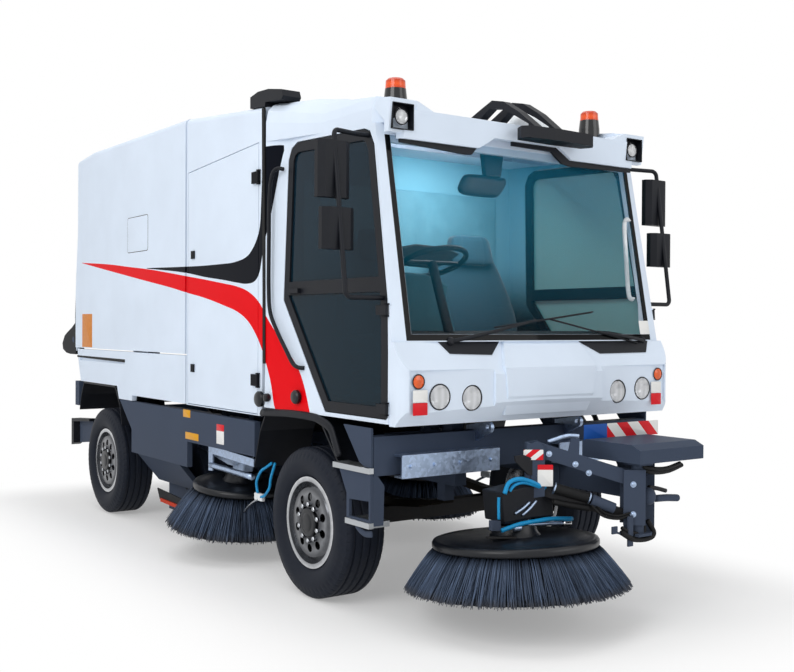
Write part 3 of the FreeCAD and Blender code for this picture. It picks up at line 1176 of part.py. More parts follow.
def save_hopper():
    """Tipping hopper: hollow box open at the rear, with ears for the tipping pins."""
    wide = BODY_HALF_WIDTH
    top_front, top_mid, top_rear = BODY_TOP, BODY_TOP + 22, BODY_TOP - 8
    outline = [(HOPPER_FRONT, HOPPER_BOTTOM), (HOPPER_FRONT, top_front), (-3730, top_mid)]
    shell = prism_xz(outline + rear_line(0, HOPPER_BOTTOM, top_rear), -wide, wide)
    long_edges = [edge for edge in shell.Edges
                  if edge.CenterOfMass.z > top_rear - 20 and abs(edge.CenterOfMass.y) > wide - 1
                  and abs(edge.CenterOfMass.x - HOPPER_REAR) > 5]
    shell = shell.makeFillet(45, long_edges)
    wall = HOPPER_WALL
    rear = [(x, min(max(z, HOPPER_BOTTOM + wall), top_rear - wall))
            for x, z in rear_line(-60, HOPPER_BOTTOM, top_rear)]
    hollow = prism_xz([(HOPPER_FRONT - wall, HOPPER_BOTTOM + wall), (HOPPER_FRONT - wall, top_front - wall),
                       (-3730, top_mid - wall)] + rear, -wide + wall, wide - wall)
    mouth = block(HOPPER_REAR - 101, HOPPER_REAR + 61, -GATE_HALF + 40, GATE_HALF - 40,
                  GATE_LOW + 45, GATE_HIGH - 60)
    shell = shell.cut(hollow).cut(mouth)
    ears = [gate_hinge(y)[0] for y in GATE_HINGES]
    y = PIN_OUTER - EAR_THICKNESS
    ear = prism_xz([(TIP_X + x, TIP_Z + z) for x, z in EAR_OUTLINE], y, PIN_OUTER)
    eye = cylinder((TIP_X, y - 1, TIP_Z), (0, 1, 0), TIP_PIN_RADIUS + RUN, EAR_THICKNESS + 2)
    lug = prism_xz([(RAM_EYE_X - 125, HOPPER_BOTTOM + 1), (RAM_EYE_X - 85, RAM_EYE_Z - 35),
                    (RAM_EYE_X + 75, RAM_EYE_Z - 35), (RAM_EYE_X + 115, HOPPER_BOTTOM + 1)],
                   RAM_Y + RAM_LUG, RAM_Y + RAM_LUG + 20)
    for piece in (ear.cut(eye), lug):
        ears += [piece, mirrored(piece)]
    save("hopper", union(shell, *ears))

    face = rear_line(SEAT, GATE_LOW, GATE_HIGH)
    back = rear_line(SEAT + GATE_THICKNESS, GATE_LOW, GATE_HIGH)
    gate = prism_xz(face + back[::-1], -GATE_HALF, GATE_HALF)
    rib_face = rear_line(SEAT + GATE_THICKNESS - 1, GATE_LOW + 60, GATE_HIGH - 60)
    rib_back = rear_line(SEAT + GATE_THICKNESS + 30, GATE_LOW + 60, GATE_HIGH - 60)
    ribs = [prism_xz(rib_face + rib_back[::-1], y - 45, y + 45) for y in GATE_HINGES]
    save("tail_gate", union(gate, *ribs, *[gate_hinge(y)[1] for y in GATE_HINGES]))


def save_rams():
    """Tipping cylinders: barrels pinned to the frame, rods with their pins at the hopper's lugs."""
    foot = Vector(RAM_FOOT_X, RAM_Y, RAM_FOOT_Z)
    eye = Vector(RAM_EYE_X, RAM_Y, RAM_EYE_Z)
    run = (eye - foot).normalize()
    barrel_end = foot + run * 1150
    foot_eye = cylinder((RAM_FOOT_X, RAM_Y - 28, RAM_FOOT_Z), (0, 1, 0), 42, 56)
    foot_bore = cylinder((RAM_FOOT_X, RAM_Y - 30, RAM_FOOT_Z), (0, 1, 0), 20 + RUN, 60)
    body = bar(foot + run * 30, barrel_end, RAM_RADIUS)
    bore = bar(foot + run * 120, barrel_end + run * 5, RAM_ROD_RADIUS + RUN)
    barrel = union(body, foot_eye).cut(foot_bore).cut(bore)
    rod = bar(foot + run * 160, eye - run * 20, RAM_ROD_RADIUS)
    rod_eye = cylinder((RAM_EYE_X, RAM_Y - 28, RAM_EYE_Z), (0, 1, 0), 40, 56)
    rod_pin = cylinder((RAM_EYE_X, RAM_Y - 34, RAM_EYE_Z), (0, 1, 0), 18, 34 + RAM_LUG - SEAT)
    rod = union(rod, rod_eye, rod_pin)
    save("ram_barrels", both_sides(barrel))
    save("ram_rods", both_sides(rod))


# ---- brushes ---------------------------------------------------------------
DISC_HEIGHT = 46.0
HUB_TOP = 120.0                # brush hub above the disc's lower edge


def make_brush(size):
    """Disc brush standing on its bristle tips: flared bristle skirt, disc and hub."""
    tips, disc, drop = size["tips"], size["disc"], size["drop"]
    section = [(tips, 0), (disc - 14, drop), (disc, drop + 4), (disc, drop + DISC_HEIGHT - 10),
               (disc - 40, drop + DISC_HEIGHT), (120, drop + DISC_HEIGHT + 8), (105, drop + HUB_TOP),
               (0, drop + HUB_TOP), (0, drop - 30), (disc - 120, drop - 30), (tips - 75, 4)]
    return revolve_about_z(section, (0, 0, 0))


LINK_PLAN = 484.0              # plan length of the parallel links
LINK_RISE = 150.0
LINK_PIVOT = 60.0              # link pivots ahead of the post axis
UPPER_PIVOT_Z = 800.0
LOWER_PIVOT_Z = 590.0
HEAD_REACH = 90.0
POST_LOW = 500.0
POST_HIGH = 868.0
LINK_HALF_WIDTH = 30.0
PIVOT_RADIUS = 15.0
ARM_ANGLE = math.degrees(math.atan2(FRONT_BRUSH["y"] - POST_Y, FRONT_BRUSH["x"] - POST_X))


def to_post(shape):
    """Turn a shape drawn along local +X from the post axis into the arm's rest direction."""
    shape = shape.copy()
    shape.rotate(Vector(0, 0, 0), Vector(0, 0, 1), ARM_ANGLE)
    shape.translate(Vector(POST_X, POST_Y, 0))
    return shape


def tilt_about(point, shape, degrees):
    """Tilt a shape about a Y axis through a point; positive lifts the front."""
    shape = shape.copy()
    shape.rotate(Vector(*point), Vector(0, 1, 0), -degrees)
    return shape


def link(x0, z0, x1, z1, half, depth):
    """Flat link with round ends between two pivots, drawn in the local XZ plane."""
    eye0 = cylinder((x0, -half, z0), (0, 1, 0), depth / 2, 2 * half)
    eye1 = cylinder((x1, -half, z1), (0, 1, 0), depth / 2, 2 * half)
    length = math.hypot(x1 - x0, z1 - z0)
    nx, nz = -(z1 - z0) / length * depth / 2, (x1 - x0) / length * depth / 2
    web = prism_xz([(x0 + nx, z0 + nz), (x1 + nx, z1 + nz), (x1 - nx, z1 - nz), (x0 - nx, z0 - nz)],
                   -half, half)
    holes = [cylinder((x, -half - 1, z), (0, 1, 0), PIVOT_RADIUS + RUN, 2 * half + 2)
             for x, z in ((x0, z0), (x1, z1))]
    piece = union(eye0, eye1, web)
    for hole in holes:
        piece = piece.cut(hole)
    return piece


def save_front_brush():
    """Front brush: fixed bracket and cover, swinging post, parallel links, head and brush."""
    inner = LINK_HALF_WIDTH + CHEEK_GAP
    outer = inner + CHEEK_WALL
    # post with two cheeks and the links' pins
    post = [cylinder((0, 0, POST_LOW), (0, 0, 1), 36, 545 - POST_LOW),
            cylinder((0, 0, 845), (0, 0, 1), 36, POST_HIGH - 845)]
    for y0, y1 in ((inner, outer), (-outer, -inner)):
        post.append(block(0, 85, y0, y1, 545, 845))
    post.append(block(-34, 14, -outer, outer, 545, 845))
    for z in (LOWER_PIVOT_Z, UPPER_PIVOT_Z):
        post.append(cylinder((LINK_PIVOT, -outer, z), (0, 1, 0), PIVOT_RADIUS, 2 * outer))
    save("brush_post", to_post(union(*post)))
    far = LINK_PIVOT + LINK_PLAN
    upper = link(LINK_PIVOT, UPPER_PIVOT_Z, far, UPPER_PIVOT_Z + LINK_RISE, LINK_HALF_WIDTH, 76)
    lower = link(LINK_PIVOT, LOWER_PIVOT_Z, far, LOWER_PIVOT_Z + LINK_RISE, LINK_HALF_WIDTH - 4, 62)
    save("brush_upper_link", to_post(upper))
    save("brush_lower_link", to_post(lower))

    size = FRONT_BRUSH
    brush = make_brush(size)
    brush.translate(Vector(size["x"], size["y"], size["z"]))
    foot = (size["x"], size["y"], size["z"])
    save("front_brush", tilt_about(foot, brush, FRONT_BRUSH_TILT))

    head = []
    for y0, y1 in ((inner, outer), (-outer, -inner)):
        head.append(prism_xz([(far - 32, 700), (far + 40, 690), (far + 50, 985), (far - 5, 995), (far - 32, 960)],
                             y0, y1))
    head.append(block(far + 46, far + 66, -outer, outer, 640, 985))
    for z in (LOWER_PIVOT_Z + LINK_RISE, UPPER_PIVOT_Z + LINK_RISE):
        head.append(cylinder((far, -outer, z), (0, 1, 0), PIVOT_RADIUS, 2 * outer))
    head = [to_post(piece) for piece in head]
    hub_top = size["drop"] + HUB_TOP + SEAT
    motor = cylinder((size["x"], size["y"], size["z"] + hub_top), (0, 0, 1), 78, 138)
    head.append(tilt_about(foot, motor, FRONT_BRUSH_TILT))
    save("brush_head", union(*head))

    # fixed arm from under the front beam to the post's two bearings
    arm = [
        block(BEAM_FRONT - BEAM_DEPTH, BEAM_FRONT, 300, 460, 650, BEAM_BOTTOM - SEAT),
        prism_xy([(BEAM_FRONT - 10, 310), (1330, 300), (1400, 350), (1330, 450), (BEAM_FRONT - 10, 450)], 655, 785),
        prism_xy([(1280, 300), (1410, 150), (1530, 150), (1530, 250), (1400, 420), (1280, 450)],
                 POST_HIGH + SEAT, POST_HIGH + 14),
        prism_xy([(1280, 300), (1410, 150), (1530, 150), (1530, 250), (1400, 420), (1280, 450)],
                 POST_LOW - 14, POST_LOW - SEAT),
        prism_xy([(1280, 300), (1345, 330), (1400, 420), (1280, 450)], POST_LOW - 14, POST_HIGH + 14),
    ]
    save("brush_bracket", union(*arm))
    cover_low = POST_HIGH + 14 + SEAT
    save("brush_cover", prism_xz([(1130, cover_low), (1560, cover_low), (1560, cover_low + 73),
                                  (1500, cover_low + 100), (1130, cover_low + 100)], 120, 640))


def save_side_brushes():
    """Side brushes between the axles: lifting arm with its motor head, and the disc brush."""
    size = SIDE_BRUSH
    side_y = -size["y"]
    head_z = size["z"] + size["drop"] + HUB_TOP + SEAT
    brush = make_brush(size)
    brush.translate(Vector(size["x"], side_y, size["z"]))
    foot = (size["x"], side_y, size["z"])
    brush = tilt_about(foot, brush, -SIDE_BRUSH_TILT)
    arm = prism_xz([(SIDE_PIVOT_X, SIDE_PIVOT_Z + 35), (size["x"] - 60, SIDE_PIVOT_Z + 10),
                    (size["x"] + 70, head_z + 55), (size["x"] + 70, head_z + 30), (size["x"] - 80, head_z + 30),
                    (SIDE_PIVOT_X, SIDE_PIVOT_Z - 35)], side_y - SIDE_ARM_HALF, side_y + SIDE_ARM_HALF)
    eye = cylinder((SIDE_PIVOT_X, side_y - SIDE_ARM_HALF, SIDE_PIVOT_Z), (0, 1, 0), 35, 2 * SIDE_ARM_HALF)
    motor = cylinder((size["x"], side_y, head_z), (0, 0, 1), 72, 100)
    motor = tilt_about(foot, motor, -SIDE_BRUSH_TILT)
    bore = cylinder((SIDE_PIVOT_X, side_y - SIDE_ARM_HALF - 1, SIDE_PIVOT_Z), (0, 1, 0), SIDE_PIN_RADIUS + RUN,
                    2 * SIDE_ARM_HALF + 2)
    arm = union(arm, eye, motor).cut(bore)
    for side, flip in (("left", False), ("right", True)):
        save("side_brush_" + side, mirrored(brush) if flip else brush.copy())
        save("side_arm_" + side, mirrored(arm) if flip else arm.copy())


def main():
    """Build every piece and write one STEP file for each."""
    os.makedirs("parts", exist_ok=True)
    save_wheels()
    save_axles()
    knuckle = make_knuckle()
    save("knuckle_left", knuckle.copy())
    save("knuckle_right", mirrored(knuckle))
    save_frame()
    save_bumper()
    save_skirts()
    save_lower_panels()
    save_mudguards()
    save_steps()
    save_engine()
    save_main_brush()
    save_cab()
    save_doors()
    save_roof()
    save_front_panel()
    save_lamps()
    save_roof_mirror()
    save_intake()
    save_interior()
    save_bay()
    save_hopper()
    save_rams()
    save_front_brush()
    save_side_brushes()


main()
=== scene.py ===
"""Looks of the street sweeper truck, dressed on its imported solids.  Metres, +X forward, +Z up."""
from __future__ import annotations

import logging
import math
from dataclasses import dataclass
from enum import Enum
from functools import cached_property, reduce
from typing import Any, Sequence

import bmesh
import bpy
import numpy as np
from mathutils import Matrix, Vector


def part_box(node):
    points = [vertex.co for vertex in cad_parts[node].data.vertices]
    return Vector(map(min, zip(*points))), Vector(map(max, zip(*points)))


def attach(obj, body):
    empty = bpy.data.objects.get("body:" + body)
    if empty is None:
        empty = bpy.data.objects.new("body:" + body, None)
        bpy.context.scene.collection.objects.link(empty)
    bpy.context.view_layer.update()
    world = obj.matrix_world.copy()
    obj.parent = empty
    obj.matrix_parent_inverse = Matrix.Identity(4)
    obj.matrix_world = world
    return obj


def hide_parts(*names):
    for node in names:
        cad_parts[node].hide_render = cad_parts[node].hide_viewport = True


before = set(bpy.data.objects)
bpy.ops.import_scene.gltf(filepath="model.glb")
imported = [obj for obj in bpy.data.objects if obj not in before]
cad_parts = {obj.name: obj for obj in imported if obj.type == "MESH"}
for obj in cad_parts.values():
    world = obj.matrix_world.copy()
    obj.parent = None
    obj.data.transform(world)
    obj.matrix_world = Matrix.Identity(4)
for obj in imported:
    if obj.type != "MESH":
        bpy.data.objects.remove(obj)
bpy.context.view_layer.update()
LOG = logging.getLogger("sweeper")
TYRE_LOW, TYRE_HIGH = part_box("tyre_front_left")
AXLE_X = (TYRE_LOW.x + TYRE_HIGH.x) / 2      # front axle's station in the row frame
WHEELBASE = AXLE_X - sum(corner.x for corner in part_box("tyre_rear_left")) / 2
SKIN_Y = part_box("hopper")[1].y               # half width of the body sides
MM = 1000.0                                  # millimetres in a metre
WAVE_CYCLES = 20.0                           # waves that the wave pattern draws in a metre at scale 1
SIDES = ((-1, "right"), (1, "left"))
PLAIN_WHITE = (1.0, 1.0, 1.0, 1.0)
Vec = Sequence[float]
Colour = tuple[float, float, float, float]
Inputs = dict[Any, Any]                      # input's name or number to a constant or a socket
Socket = bpy.types.NodeSocket


# ---- small tools -----------------------------------------------------------
def linear(code: str) -> Colour:
    """Turn an sRGB hex colour into a linear one.

    Formula: a channel c is c / 12.92 up to 0.04045, above it ((c + 0.055) / 1.055) to the 2.4.

    Args:
        code: six hex digits after a hash sign.

    Returns:
        Linear red, green and blue, and an alpha of 1.
    """
    channels = np.array([int(code[i:i + 2], 16) for i in (1, 3, 5)]) / 255.0
    low = channels / 12.92
    high = ((channels + 0.055) / 1.055) ** 2.4
    red, green, blue = np.where(channels <= 0.04045, low, high)
    return float(red), float(green), float(blue), 1.0


def toned(code: str, factor: float, lift: float = 0.0) -> Colour:
    """Linear colour of a hex code with each channel scaled and lifted."""
    red, green, blue, alpha = linear(code)
    return red * factor + lift, green * factor + lift, blue * factor + lift, alpha


def feed(tree: bpy.types.NodeTree, node: bpy.types.Node, inputs: Inputs) -> None:
    """Link each input that is given as a socket, and set each one that is given as a constant.

    Args:
        tree: node tree of the material.
        node: node that is fed.
        inputs: input name or number to a constant, or to the socket that feeds it.
    """
    for name, value in inputs.items():
        if isinstance(value, bpy.types.NodeSocket):
            tree.links.new(value, node.inputs[name])
        else:
            node.inputs[name].default_value = value


def add_node(tree: bpy.types.NodeTree, kind: str, inputs: Inputs | None = None, **settings: Any) -> bpy.types.Node:
    """Add one node with its settings and inputs.

    Args:
        tree: node tree of the material.
        kind: node type.
        inputs: input name or number to a constant, or to the socket that feeds it.
        settings: attributes of the node.

    Returns:
        The new node.
    """
    node = tree.nodes.new(kind)
    for name, value in settings.items():
        setattr(node, name, value)
    feed(tree, node, inputs or {})
    return node


def at(x: float, y: float, z: float) -> np.ndarray:
    """Point in the row frame of a station measured forward of the front axle."""
    return np.array([x + AXLE_X, y, z])


def unit(vectors: np.ndarray) -> np.ndarray:
    """Vectors scaled to length 1."""
    return vectors / np.linalg.norm(vectors, axis=-1, keepdims=True)


def eased(points: Sequence[Vec], steps: int = 8) -> np.ndarray:
    """Smooth line through points.

    Formula: a Catmull-Rom run from b to c with neighbours a and d at share t is
    half of 2b + (c - a)t + (2a - 5b + 4c - d)t^2 + (3b - a - 3c + d)t^3.

    Args:
        points: points the line passes through.
        steps: divisions of each run.

    Returns:
        Points of the line, one row each.
    """
    knots = np.asarray(points, float)
    padded = np.vstack([2 * knots[0] - knots[1], knots, 2 * knots[-1] - knots[-2]])
    share = np.linspace(0, 1, steps, endpoint=False)[None, :, None]
    a, b, c, d = (padded[i:len(knots) - 1 + i, None] for i in range(4))
    runs = 0.5 * (2 * b + (c - a) * share + (2 * a - 5 * b + 4 * c - d) * share ** 2
                  + (3 * b - a - 3 * c + d) * share ** 3)
    return np.vstack([runs.reshape(-1, knots.shape[1]), knots[-1]])


def grid_faces(rows: int, columns: int, round_rows: bool, round_columns: bool) -> np.ndarray:
    """Four-sided faces of a grid of points.

    Formula: the point in row r and column c has the number r * columns + c, and each face
    joins a point with its next ones along both ways.

    Args:
        rows: number of rows.
        columns: number of columns.
        round_rows: whether the last row meets the first.
        round_columns: whether the last column meets the first.

    Returns:
        Point numbers, four for each face.
    """
    row, column = np.meshgrid(np.arange(rows if round_rows else rows - 1),
                              np.arange(columns if round_columns else columns - 1), indexing="ij")
    down, right = (row + 1) % rows, (column + 1) % columns
    corners = [row * columns + column, down * columns + column, down * columns + right,
               row * columns + right]
    return np.stack(corners, -1).reshape(-1, 4)


def make_piece(name: str, points: np.ndarray, faces: list, smooth: bool = True,
               merge: float = 0.0) -> bpy.types.Object:
    """Make a mesh object at the origin with its faces pointing outwards.

    Args:
        name: name of the piece.
        points: points in the row frame.
        faces: lists of point numbers.
        smooth: whether the shading is smooth.
        merge: points nearer than this become one, which closes poles.

    Returns:
        The object.
    """
    mesh = bpy.data.meshes.new(name)
    mesh.from_pydata(points.reshape(-1, 3).tolist(), [], faces)
    work = bmesh.new()
    work.from_mesh(mesh)
    if merge:
        bmesh.ops.remove_doubles(work, verts=work.verts, dist=merge)
    bmesh.ops.recalc_face_normals(work, faces=work.faces)
    work.to_mesh(mesh)
    work.free()
    mesh.polygons.foreach_set("use_smooth", np.full(len(mesh.polygons), smooth))
    piece = bpy.data.objects.new(name, mesh)
    bpy.context.scene.collection.objects.link(piece)
    return piece


def surface(name: str, points: np.ndarray, round_rows: bool = False, round_columns: bool = True,
            capped: bool = True, smooth: bool = True, merge: float = 1e-6) -> bpy.types.Object:
    """Surface on a grid of points, with its open row ends capped.

    Args:
        name: name of the piece.
        points: rows by columns by three.
        round_rows: whether the rows close on themselves.
        round_columns: whether the columns close on themselves.
        capped: whether the first and last row get an end face.
        smooth: whether the shading is smooth.
        merge: distance at which points are merged.

    Returns:
        The object.
    """
    rows, columns = points.shape[:2]
    faces = grid_faces(rows, columns, round_rows, round_columns).tolist()
    if capped and not round_rows:
        faces += [list(range(columns)), list(range((rows - 1) * columns, rows * columns))]
    return make_piece(name, points, faces, smooth, merge)


def sharpen(piece: bpy.types.Object, degrees: float = 35.0) -> bpy.types.Object:
    """Keep edges turned by more than an angle crisp under smooth shading.

    Args:
        piece: the piece.
        degrees: the angle.

    Returns:
        The piece.
    """
    piece.data.set_sharp_from_angle(angle=math.radians(degrees))
    return piece


def rounded(piece: bpy.types.Object, width: float, segments: int = 2) -> bpy.types.Object:
    """Round a piece's edges over.

    Args:
        piece: the piece.
        width: width of the rounding in metres.
        segments: divisions across it.

    Returns:
        The piece.
    """
    bevel = piece.modifiers.new("edge_rounding", "BEVEL")
    bevel.width, bevel.segments, bevel.limit_method = width, segments, "ANGLE"
    return piece


def sweep(name: str, path: np.ndarray, profile: np.ndarray, up: Vec = (0, 0, 1),
          scale: np.ndarray | None = None) -> bpy.types.Object:
    """Carry a closed flat profile along a path.

    Formula: a ring's point is the path's point plus the profile's first value times the side
    vector and its second times the lift vector; side is tangent cross up, lift side cross tangent.

    Args:
        name: name of the piece.
        path: points of the path.
        profile: points of the profile, two values each.
        up: vector the profile's second value leans to.
        scale: size of the profile at each point of the path.

    Returns:
        The object.
    """
    tangent = unit(np.gradient(path, axis=0))
    side = unit(np.cross(tangent, np.asarray(up, float)))
    lift = np.cross(side, tangent)
    sizes = np.ones(len(path)) if scale is None else scale
    flat = profile[None] * sizes[:, None, None]
    points = path[:, None] + flat[..., :1] * side[:, None] + flat[..., 1:] * lift[:, None]
    return surface(name, points)


def ring(radius: float, sides: int = 14, flat: float = 1.0) -> np.ndarray:
    """Closed round or oval profile.

    Args:
        radius: half its width.
        sides: divisions around it.
        flat: its height over its width.

    Returns:
        Points of the profile, two values each.
    """
    angle = np.linspace(0, 2 * math.pi, sides, endpoint=False)
    return np.stack([np.cos(angle) * radius, np.sin(angle) * radius * flat], -1)


def basis(axis: Vec) -> tuple[np.ndarray, np.ndarray, np.ndarray]:
    """Unit axis and two unit vectors square to it.

    Args:
        axis: direction of the axis.

    Returns:
        The axis and the two vectors.
    """
    along = unit(np.asarray(axis, float))
    helper = np.array([0.0, 0.0, 1.0]) if abs(along[2]) < 0.9 else np.array([1.0, 0.0, 0.0])
    first = unit(np.cross(helper, along))
    return along, first, np.cross(along, first)


def turned(name: str, profile: Sequence[Vec], centre: Vec, axis: Vec, sides: int = 48,
           closed: bool = False) -> bpy.types.Object:
    """Turn a profile about an axis.

    Formula: a point is the centre plus its run times the axis plus its radius times
    (cosine of the angle times the first cross vector plus sine times the second).

    Args:
        name: name of the piece.
        profile: (run, radius) points.
        centre: start of the axis.
        axis: direction of the axis.
        sides: divisions of the turn.
        closed: whether the profile closes on itself.

    Returns:
        The object.
    """
    along, first, second = basis(axis)
    angle = np.linspace(0, 2 * math.pi, sides, endpoint=False)[:, None, None]
    run, radius = np.asarray(profile, float).T[:, None, :, None]
    points = (np.asarray(centre, float) + run * along
              + radius * (np.cos(angle) * first + np.sin(angle) * second))
    return sharpen(surface(name, points, round_rows=True, round_columns=closed, capped=False))


def hexagons(name: str, centres: np.ndarray, axis: Vec, sides: tuple[Vec, Vec],
             rings: Sequence[Vec]) -> bpy.types.Object:
    """Six-sided nuts or bolts as one piece, each a stack of rings closed at both ends.

    Formula: a point is the centre plus the ring's radius times (the cosine of the angle times the
    first side vector plus the sine times the second) plus the ring's run times the axis.

    Args:
        name: name of the piece.
        centres: middle of each one's foot.
        axis: direction they stand in.
        sides: two unit vectors square to the axis.
        rings: (run, radius) of each ring.

    Returns:
        The object.
    """
    angle = np.arange(6)[:, None] * math.pi / 3
    hexagon = np.cos(angle) * np.asarray(sides[0], float) + np.sin(angle) * np.asarray(sides[1], float)
    steps = np.asarray(rings, float)[:, None]
    points = centres[:, None, None] + hexagon * steps[..., 1:] + np.asarray(axis, float) * steps[..., :1]
    size = 6 * len(rings)
    one = [*grid_faces(len(rings), 6, False, True).tolist(), list(range(6)), list(range(size - 6, size))]
    faces = [[corner + start for corner in face] for start in range(0, size * len(centres), size) for face in one]
    return make_piece(name, points, faces, smooth=False)


def plate(name: str, centre: Vec, across: Vec, upward: Vec, size: Vec, depth: float,
          corner: float = 0.004) -> bpy.types.Object:
    """Flat plate with rounded corners, standing on a surface.

    Formula: the outline is a rounded rectangle, each corner a quarter circle about a point set in
    by the corner radius; the front is lifted by the depth and drawn in by a small share.

    Args:
        name: name of the piece.
        centre: middle of its back face.
        across: direction of its width.
        upward: direction of its height.
        size: width and height.
        depth: thickness; outward is across cross upward.
        corner: corner radius.

    Returns:
        The object.
    """
    width, height = (value / 2 - corner for value in size[:2])
    quarter = np.linspace(0, math.pi / 2, 5)
    turns = (np.arange(4)[:, None] * math.pi / 2 + quarter).ravel()
    sign_x = np.repeat([1, -1, -1, 1], 5)
    sign_y = np.repeat([1, 1, -1, -1], 5)
    x = sign_x * width + corner * np.cos(turns)
    y = sign_y * height + corner * np.sin(turns)
    u, v = unit(np.asarray(across, float)), unit(np.asarray(upward, float))
    out = np.cross(u, v)
    middle, narrow = np.asarray(centre, float), 0.985
    rim = middle + x[:, None] * u + y[:, None] * v
    inner = middle + x[:, None] * u * narrow + y[:, None] * v * narrow
    points = np.stack([rim, rim + out * depth * 0.6, inner + out * depth])
    return sharpen(surface(name, points))


def prism(name: str, back: Sequence[Vec], front: Sequence[Vec], soften: float = 0.0) -> bpy.types.Object:
    """Solid between two matching outlines.

    Args:
        name: name of the piece.
        back: points of one outline.
        front: points of the other, in the same order.
        soften: width its edges are rounded over by, or 0.

    Returns:
        The object.
    """
    piece = surface(name, np.stack([np.asarray(back, float), np.asarray(front, float)]), smooth=False)
    return rounded(piece, soften) if soften else piece


def slab(name: str, outline: Sequence[Vec], x: float, depth: float, soften: float = 0.0) -> bpy.types.Object:
    """Solid with an outline seen from ahead.

    Args:
        name: name of the piece.
        outline: (y, z) points.
        x: its back, forward of the front axle.
        depth: how much further forward its front is.
        soften: width its edges are rounded over by, or 0.

    Returns:
        The object.
    """
    return prism(name, [at(x, y, z) for y, z in outline], [at(x + depth, y, z) for y, z in outline], soften)


def block(name: str, low: Vec, high: Vec, soften: float = 0.004) -> bpy.types.Object:
    """Box between two corners with its edges rounded over.

    Args:
        name: name of the piece.
        low: lowest corner.
        high: highest corner.
        soften: width its edges are rounded over by.

    Returns:
        The object.
    """
    a, size = np.asarray(low, float), np.asarray(high, float) - np.asarray(low, float)
    square = a[:2] + np.array([[0, 0], [1, 0], [1, 1], [0, 1]], float) * size[:2]
    points = np.stack([np.column_stack([square, np.full(4, z)]) for z in (low[2], high[2])])
    return rounded(surface(name, points, smooth=False), soften)


